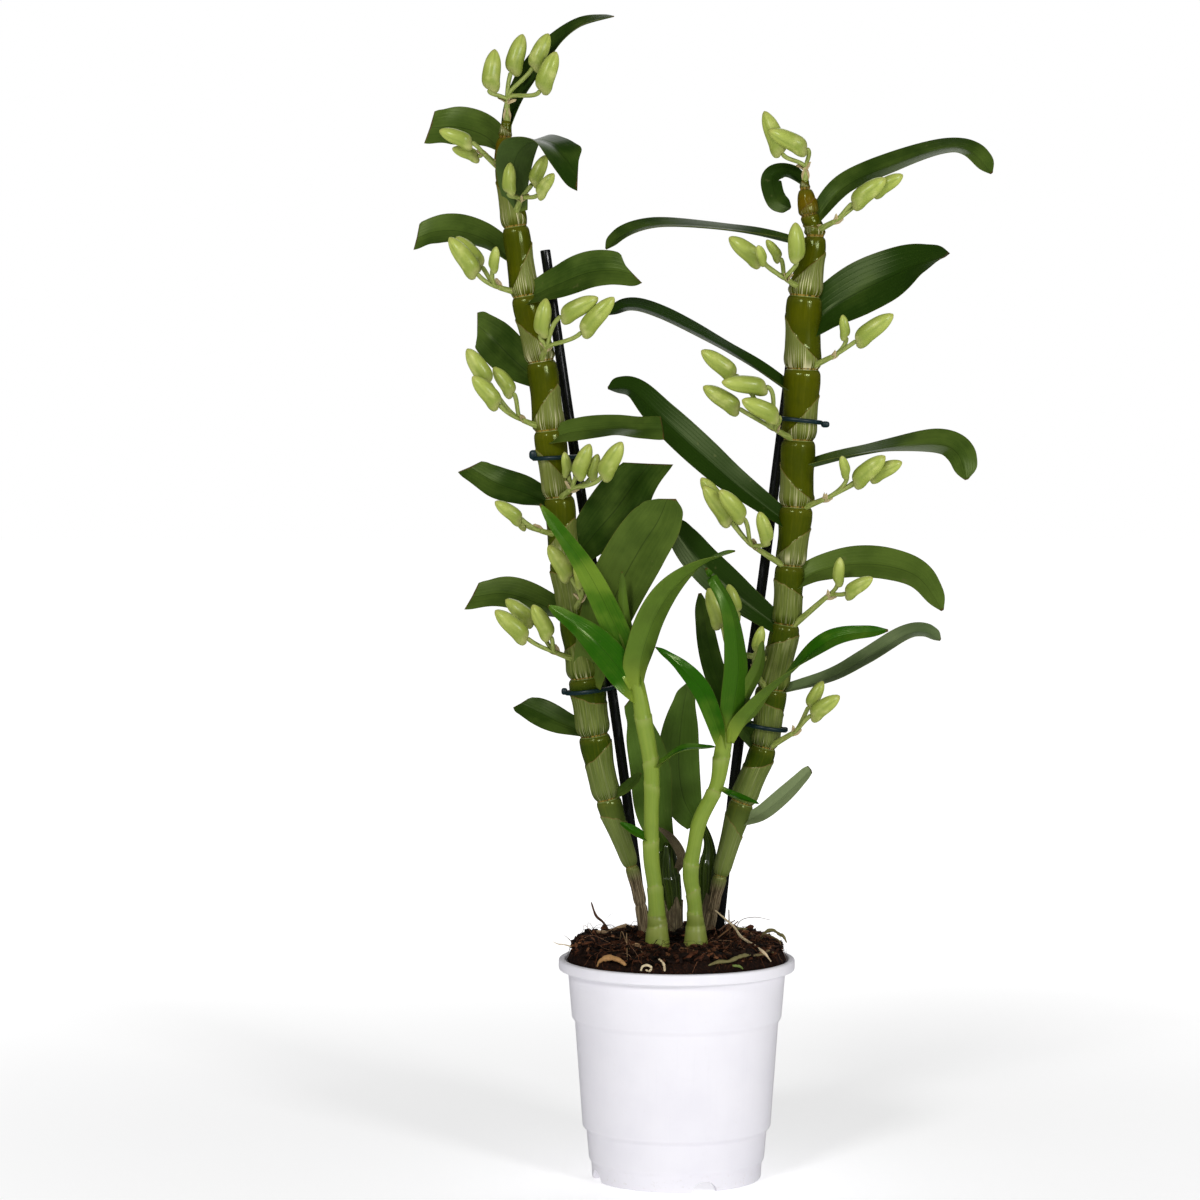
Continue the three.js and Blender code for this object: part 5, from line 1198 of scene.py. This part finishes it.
# %% Shoot positions
SHOOTS = {
    "left": {
        "stem": [[-10, -4, 110], [-10, -4, 129], [-11, -4, 147], [-13, -4, 164], [-13, -4, 183],
                 [-13, -4, 209], [-17, -5, 234], [-21, -6, 258]],
        "radii": [5.2, 4.7, 3.9, 4.1, 3.8, 4, 4.3, 3.2],
        "leaves": [
            {"at": [[-21, -6, 250], [-25, -8, 265], [-33, -12, 285], [-47, -18, 312], [-69, -23, 343]],
             "wide": 14, "face": [[-0.3, -0.8, 0.5], [-0.4, -0.8, 0.4], [-0.3, -0.8, 0.5]]},
            {"at": [[-19, -5, 244], [-26, -8, 255], [-35, -12, 267], [-47, -15, 279], [-65, -17, 292]],
             "wide": 16, "face": [[-0.3, -0.8, 0.5], [-0.3, -0.8, 0.5], [-0.2, -0.8, 0.6]]},
            {"at": [[-22, -5, 256], [-24, -8, 268], [-27, -12, 285], [-28, -14, 309]],
             "wide": 8, "face": [[0, 1, 0.1], [0, 1, 0.2]]},
            {"at": [[-20, -8, 248], [-19, -11, 264], [-13, -16, 284], [-3, -22, 301], [12, -29, 314],
                    [28, -35, 320]],
             "wide": 19,
             "face": [[-0.3, 0.9, 0.1], [-0.5, 0.8, 0.3], [-0.5, 0.5, 0.7], [-0.3, -0.3, 0.9]]},
            {"at": [[-13, -4, 207], [1, -12, 219], [19, -16, 221]],
             "wide": 7, "face": [[0, -0.4, 0.9], [0, -0.4, 0.9]]},
            {"at": [[-13, -4, 172], [-21, -8, 177], [-29, -10, 182]],
             "wide": 6, "face": [[0, -0.7, 0.7], [0, -0.7, 0.7]]},
        ],
    },
    "right": {
        "stem": [[10, -2, 112], [9, -2, 139], [7, -2, 155], [9, -2, 170], [12, -2, 183], [20, -3, 200],
                 [23, -3, 217], [27, -4, 238]],
        "radii": [5.4, 3.7, 4, 3.7, 3.9, 3.6, 4.2, 3],
        "leaves": [
            {"at": [[24, -4, 218], [20, -7, 231], [13, -9, 248], [2, -12, 261], [-11, -14, 271]],
             "wide": 10, "face": [[-0.5, -0.7, 0.5], [-0.4, -0.7, 0.5], [-0.2, -0.6, 0.8]]},
            {"at": [[26, -7, 222], [28, -9, 240], [30, -13, 263], [26, -16, 290], [14, -18, 311]],
             "wide": 14, "back": 0.75,
             "face": [[-0.2, 1, 0], [-0.3, 0.9, 0.1], [-0.6, 0.6, 0.2], [-0.4, -0.2, 0.8]]},
            {"at": [[28, -6, 222], [36, -9, 236], [52, -13, 254], [77, -19, 275], [105, -25, 280]],
             "wide": 16,
             "face": [[-0.6, 0.7, 0.4], [-0.6, 0.6, 0.5], [-0.5, 0.1, 0.85], [-0.1, -0.7, 0.7],
                      [0, -0.8, 0.6]]},
            {"at": [[27, -3, 230], [35, -7, 248], [41, -9, 261], [43, -10, 274]],
             "wide": 8, "face": [[-0.4, 0.9, 0.2], [-0.4, 0.9, 0.2]]},
            {"at": [[20, -3, 199], [31, -9, 195], [41, -13, 192]],
             "wide": 5, "face": [[0, -0.5, 0.9], [0, -0.5, 0.9]]},
        ],
    },
}
RINGS = {"left": [128.5, 134, 148, 172.5, 200.5, 213, 236], "right": [128.5, 134, 146, 161, 196.5, 215]}
YOUNG = dict(between=[[0.22, 0.86], [0.45, 1], [0.68, 0.86], [0.86, 0.54]], base=0.4, tip=0.08, clasp=0.8)
RING_FLARE, RING_TILT, RING_REACH = 0.42, 1.6, 3.5      # swelling, lean and reach of a ring, mm
FOOT_SWELL, FOOT_HEIGHT, FOOT_SPREAD = 1.5, 117, 9      # swelling at the soil, mm
print({side: len(s["leaves"]) for side, s in SHOOTS.items()}, "blades on the shoots")

# %% Finishes of the shoots
def shoot_skin():
    f = Finish("young_stem", IOR=1.42, Specular_IOR_Level=0.35)
    spot, ring = f.place(), f.painted("ring")
    streak, cloud = f.streaks(30, 4), f.grain(spot, 110, 3)
    colour = f.mix(f.band(streak, 0.3, 0.75) * 0.6, (130, 150, 56), (112, 138, 44))
    height = f.split(spot, 2)
    colour = f.mix(f.band(height, 0.135, 0.1335) * 0.75, colour, (110, 120, 44))
    colour = f.mix(f.band(height, 0.1295, 0.128) * 0.9, colour, (142, 154, 70))
    colour = f.mix((1 - f.band(ring, 0.3, 5)) * 0.3, colour, (160, 170, 96))
    colour = f.mix((1 - f.band(ring, 0.05, 0.7)) * 0.45, colour, (128, 112, 62))
    colour = f.mix(f.band(cloud, 0.5, 0.8) * 0.25, colour, (92, 122, 34))
    return f.done(colour, 0.26 + 0.15 * cloud, streak, 0.08)


YOUNG_STEM = shoot_skin()
YOUNG_LEAF = leaf_skin("young_leaf", (34, 84, 6), (116, 142, 44), (84, 110, 34), (118, 138, 46), 0.3,
                       0.13, 0.4)
# the first left blade is lighter partly as painted light, standing in for the bright streaked highlight along
# it
YOUNG_TONES = {"left": [0.3, 0.15, 0.85, 0.4, 0.1, 0.1], "right": [0.0, 0.1, 0.0, 0.45, 0.1]}

# %% Grow the shoots
def shoot_stem(skin, points, radii, heights, seed, foot=0.0, ribs=0.0, columns=40, rows=150):
    """The radius is the smooth line through the given radii, times a cosine for the ribs. Below each
    ring it swells more the nearer it is and drops back at the ring; each ring leans by a cosine
    round the stem. A bell at the soil makes the foot."""
    u = np.linspace(0, 1, rows)
    centre, a = through(points, u), angles(columns)
    height = centre[:, 2:] + 0 * a
    flare, nearest = 0, np.full(height.shape, 20.0)
    for k, z in enumerate(heights):
        below = z + RING_TILT * np.cos(a - seed - 2.4 * k) - height
        flare = flare + RING_FLARE * np.exp(-np.clip(below, 0, None) / RING_REACH) * rise(-0.5, 0.1, below)
        nearest = np.minimum(nearest, np.where(below > -0.4, np.abs(below), 20))
    radius = through(radii, u) * np.sqrt(1 - 0.9 * rise(0.96, 1, u)[:, None]) * (1 + ribs * np.cos(9 * a))
    r = radius + flare + foot * hump(height - FOOT_HEIGHT, FOOT_SPREAD)
    skin.add(round_line(centre, np.array([1.0, 0, 0]), r, a) * MM, u * 1.4, ring=nearest)


for number, (side, shoot) in enumerate(SHOOTS.items()):
    skin = Skin()
    shoot_stem(skin, shoot["stem"], shoot["radii"], RINGS[side], 1.3 * number, FOOT_SWELL)
    for k, leaf in enumerate(shoot["leaves"]):
        blade(skin, **{**YOUNG, **leaf}, material=1, seed=60 + 10 * number + k, tone=YOUNG_TONES[side][k])
    skin.build(f"young_shoot_{side}", [YOUNG_STEM, YOUNG_LEAF], "young_shoot", f"shoot_{side}")

# %% [markdown]
# ## The old pseudobulbs
# Between the canes stand two small old bulbs, glossy and ribbed, with a torn papery sheath at the
# foot and their last dark leaves. The sheath is a grid round the bulb whose top row ends at a ragged
# height and then turns in to the bulb, so that it is a closed skin.

# %% Old bulb positions
OLD = {
    "left": {
        "stem": [[-11, 26, 109], [-1, 34, 113], [-2, 34, 138], [-4, 34, 153], [-4, 33, 168]],
        "radii": [2.4, 3.4, 5.2, 5.6, 2.8],
        "leaves": [
            {"at": [[-4, 33, 165], [-11, 27, 184], [-13, 24, 206], [-18, 22, 226], [-23, 21, 243]],
             "wide": 21, "base": 0.4, "tip": 0.45, "skew": 0.3, "face": [[-0.2, -1, 0], [0, -1, 0]]},
            {"at": [[-1, 33, 150], [3, 27, 160], [-2, 24, 170], [-9, 23, 176]],
             "wide": 5, "face": [[0, -1, 0], [0, -1, 0]]},
        ],
    },
    "right": {
        "stem": [[15, 28, 108], [13, 35, 113], [16, 35, 138], [17, 35, 153], [17, 34, 168],
                 [10, 30, 184]],
        "radii": [2.4, 3, 4, 4.8, 2.4, 1.6],
        "leaves": [
            {"at": [[10.7, 29.4, 178], [4, 26, 191], [1.5, 25, 210], [3, 24, 232], [6, 22, 250]],
             "wide": 22, "base": 0.45, "tip": 0.1, "face": [[-0.2, -1, 0], [0, -1, 0]]},
        ],
    },
}
BULB_RING, BULB_RIBS = {"left": 150, "right": 158}, 0.035  # height of the ring, depth of the ribs
SHEATHS = {"left": (0.3, 0.5), "right": (0.25, 0.42)}      # shares of the stem that one wraps
SHEATH_ROWS = 22
print({side: len(old["leaves"]) for side, old in OLD.items()}, "leaves on the old bulbs")

# %% Old bulbs
def bulb_skin():
    f = Finish("old_bulb_skin", IOR=1.5, Specular_IOR_Level=0.9)
    streak, cloud = f.streaks(34, 2), f.grain(f.place(), 130, 3)
    nerve = f.band(f.math("ABSOLUTE", f.math("SINE", f.map(0) * 38 + streak * 2)), 0.9, 1.0)
    colour = f.mix(f.band(streak, 0.35, 0.7), (30, 46, 6), (50, 66, 12))
    colour = f.mix(f.band(cloud, 0.5, 0.75) * 0.6, colour, (22, 32, 6))
    # pale lines along the ribs: partly their own paler colour, partly a painted highlight on the ribs
    colour = f.mix(nerve * 0.16, colour, (120, 132, 72))
    return f.done(colour, 0.14 + 0.1 * cloud, streak + cloud * 0.5, 0.05)


def paper_skin():
    f = Finish("papery_sheath")
    streak = f.streaks(60, 3, 4, 0.65)
    colour = f.ramp(streak, {0.3: (44, 36, 22), 0.5: (84, 72, 46), 0.68: (140, 128, 96)})
    colour = f.mix(f.band(f.grain(f.place(), 300, 3), 0.55, 0.75) * 0.5, colour, (70, 54, 38))
    return f.done(colour, 0.75, streak, 0.3)


def torn_sheath(skin, points, radii, low, high, seed):
    """Rows climb from `low` to a ragged height that differs round the stem by a noise; the radius
    stands a little off the stem, flares at the top and then turns in."""
    a = angles(48)
    t = np.concatenate([np.linspace(0, 1, SHEATH_ROWS), [1, 0.96]])[:, None]
    ragged = noise(4, 2.2 * np.cos(a), 2.2 * np.sin(a), seed)
    u = low + (high - low) * (1 + 0.35 * ragged) * t
    off = np.where(np.arange(len(t)) < SHEATH_ROWS, 0.45 + 0.35 * t[:, 0] ** 3, -0.5)[:, None]
    centre = through(points, u.ravel()).reshape(u.shape + (3,))
    wavy = 0.2 * noise(6, 4 * np.cos(a), 4 * np.sin(a), 3 * t + seed)
    r = through(radii, u.ravel()).reshape(u.shape) + off + wavy
    skin.add((centre + np.stack([r * np.cos(a), r * np.sin(a), 0 * r], -1)) * MM, t[:, 0], 2)


OLD_SKINS = [
    bulb_skin(),
    leaf_skin("last_leaf", (56, 80, 22), (82, 108, 42), (70, 94, 42), (62, 84, 26), 0.15, 0.24),
    paper_skin(),
]
for number, (side, old) in enumerate(OLD.items()):
    skin = Skin()
    shoot_stem(skin, old["stem"], old["radii"], [BULB_RING[side]], 2.0, ribs=BULB_RIBS, rows=90)
    for k, leaf in enumerate(old["leaves"]):       # the second leaf of the left bulb is dry paper
        blade(skin, **{**YOUNG, **leaf}, material=1 + k, seed=80 + 10 * number + k, tone=0.45)
    torn_sheath(skin, old["stem"], old["radii"], *SHEATHS[side], float(number))
    skin.build(f"old_bulb_{side}_green", OLD_SKINS, "old_bulb", f"old_bulb_{side}")

# %% [markdown]
# ## Stakes and clips
# Each cane leans on a smooth black plastic rod and is held to it by two spring clips: a thin ring
# that wraps cane and rod together, with a finger tab at each end. The ring is the outline of the two
# circles: in every direction the circle that reaches farther gives the point.

# %% Stakes
STAKES = {
    "left": [[-12, 37, 40], [-17, 33, 124], [-33, 27, 247], [-53, 24, 375], [-67, 22, 472]],
    "right": [[14, 38, 40], [23, 38, 124], [32, 32, 213], [44, 29, 298], [52, 28, 362], [60, 27, 425]],
}
STAKE_RADIUS = 2.6


def black_plastic(name, colour, worn, rough):
    f = Finish(name, IOR=1.5)
    cloud = f.grain(f.place(), 90, 3)
    dust = f.band(f.grain(f.stretch(f.place(), (700, 700, 90)), 1, 4, 0.7), 0.56, 0.74)
    return f.done(f.mix(dust * 0.4, colour, worn), rough + 0.14 * cloud + 0.25 * dust, cloud + dust, 0.06)


STAKE_PLASTIC = black_plastic("black_stake_plastic", (13, 14, 16), (58, 60, 62), 0.16)
CLIP_PLASTIC = black_plastic("teal_clip_plastic", (12, 38, 42), (40, 74, 78), 0.34)
for side, line in STAKES.items():
    skin = Skin()
    tube(skin, line, [STAKE_RADIUS] * len(line), 32, 60, ref=(1, 0, 0), cap=0.5, flat=0.84)
    skin.build(f"stake_{side}_rod", [STAKE_PLASTIC], "stake", f"stake_{side}")

# %% Clips
CLIPS = {                        # cane, height and slope; two finger tabs as [x, y, z] and half sizes
    "left_upper": ["left", 366, 0.05,
                   [(-72.5, 11, 367.5), (2.6, 2.2, 3.4)], [(-50.8, 24, 368), (2.2, 1.6, 1.6)]],
    "left_lower": ["left", 247, 0.12,
                   [(-57.2, 16, 246.6), (1.6, 2.0, 2.4)], [(-27.6, 27, 250), (2.6, 1.6, 1.4)]],
    "right_upper": ["right", 385, -0.1,
                    [(50.8, 26, 385.6), (2.2, 1.6, 1.6)], [(75.6, 12, 383), (2.2, 2.0, 2.2)]],
    "right_lower": ["right", 228, -0.16,
                    [(30, 31, 232), (2.2, 1.6, 1.5)], [(55.6, 19, 226.8), (1.8, 2.0, 1.8)]],
}
TAB_SCALE = (1.0, 0.85, 0.75)
CLIP_STEPS, CLIP_SECTION = 72, (0.85, 1.1)       # half thickness and half height of the ring
CANE_GAP, STAKE_GAP = 2.0, 1.7                   # from cane and stake to the middle of the ring


def crossing(line, radii, z):
    """Where a rising line passes a height, and its greater radius there."""
    line = np.array(line, float)
    i = int(np.argmax(line[:, 2] > z))
    t = (z - line[i - 1, 2]) / (line[i, 2] - line[i - 1, 2])
    return [*(line[i - 1, :2] + t * (line[i, :2] - line[i - 1, :2])), max(radii[i - 1], radii[i])]


def pebble(skin, middle, half, power=0.75, rows=14, columns=20):
    """A box with round edges: cosines and sines raised to a power below 1."""
    def soft(x): return np.sign(x) * np.abs(x) ** power
    b = np.linspace(-np.pi / 2, np.pi / 2, rows)[1:-1, None]
    a = angles(columns)
    P = np.stack([half[0] * soft(np.cos(b)) * soft(np.cos(a)), half[1] * soft(np.cos(b)) * soft(np.sin(a)),
                  half[2] * soft(np.sin(b)) + 0 * a], -1)
    skin.add((P + np.array(middle)) * MM)


def clip_ring(side, z, slope):
    """A loop of small ellipses. In each direction its middle lies on the circle, round the cane or
    round the stake, that reaches farther that way; its height changes by the slope with x."""
    cane_at = crossing(CANES[side]["nodes"], CANES[side]["radii"], z)
    stake_at = crossing(STAKES[side], [STAKE_RADIUS] * len(STAKES[side]), z)
    circles = np.array([[*cane_at[:2], cane_at[2] + CANE_GAP], [*stake_at[:2], STAKE_RADIUS + STAKE_GAP]])
    a, b = angles(CLIP_STEPS), angles(14)
    out = np.stack([np.cos(a), np.sin(a)], -1)
    pick = np.argmax(out @ circles[:, :2].T + circles[:, 2], axis=1)
    flat = circles[pick, :2] + out * circles[pick, 2:]
    centre = np.concatenate([flat, z + slope * (flat[:, :1] - cane_at[0])], 1)
    outward = out[:, None] * (CLIP_SECTION[0] * np.cos(b))[:, None]
    upward = np.broadcast_to((CLIP_SECTION[1] * np.sin(b))[:, None], (CLIP_STEPS, 14, 1))
    return centre[:, None] + np.concatenate([outward, upward], -1)


for name, (side, z, slope, *tabs) in CLIPS.items():
    skin = Skin()
    skin.add(clip_ring(side, z, slope) * MM, loop=True)
    for middle, half in tabs:
        pebble(skin, middle, np.array(half) * TAB_SCALE)
    skin.build(f"clip_{name}_ring", [CLIP_PLASTIC], "clip", f"clip_{name}")

# %% [markdown]
# ## The table
# The plant stands on a large white table, which is no part of it. Last, the number of triangles in the plant
# is printed.

# %% Table
GLOW_SPAN = (0.12, 1.4)          # distance from the pot over which the glow grows, metres


def table_finish():
    """White, with a glow that grows with the distance from the pot, so that it meets the wall."""
    f = Finish("white_table", Emission_Strength=1.0)
    far = f.node("VectorMath", {"operation": "LENGTH"}, {0: f.place()}, 1)
    glow = f.mix(f.band(far, *GLOW_SPAN), (0.38, 0.38, 0.38, 1), (0.85, 0.85, 0.85, 1))
    f.tree.links.new(glow.output, f.shader.inputs["Emission Color"])
    return f.done(f.mix(f.grain(f.place(), 3, 2), (250, 250, 250), (246, 246, 247)), 0.8)


TABLE_HALF = 12                  # half the table's width, metres
plane = bpy.data.meshes.new("table")
plane.from_pydata([(x * TABLE_HALF, y * TABLE_HALF, 0) for x, y in ((-1, -1), (1, -1), (1, 1), (-1, 1))],
                  [], [(0, 1, 2, 3)])
plane.materials.append(table_finish())
table = bpy.data.objects.new("table", plane)
table.visible_glossy = False
bpy.context.scene.collection.objects.link(table)
print("table laid;", sum(TOTAL), "triangles in the plant")
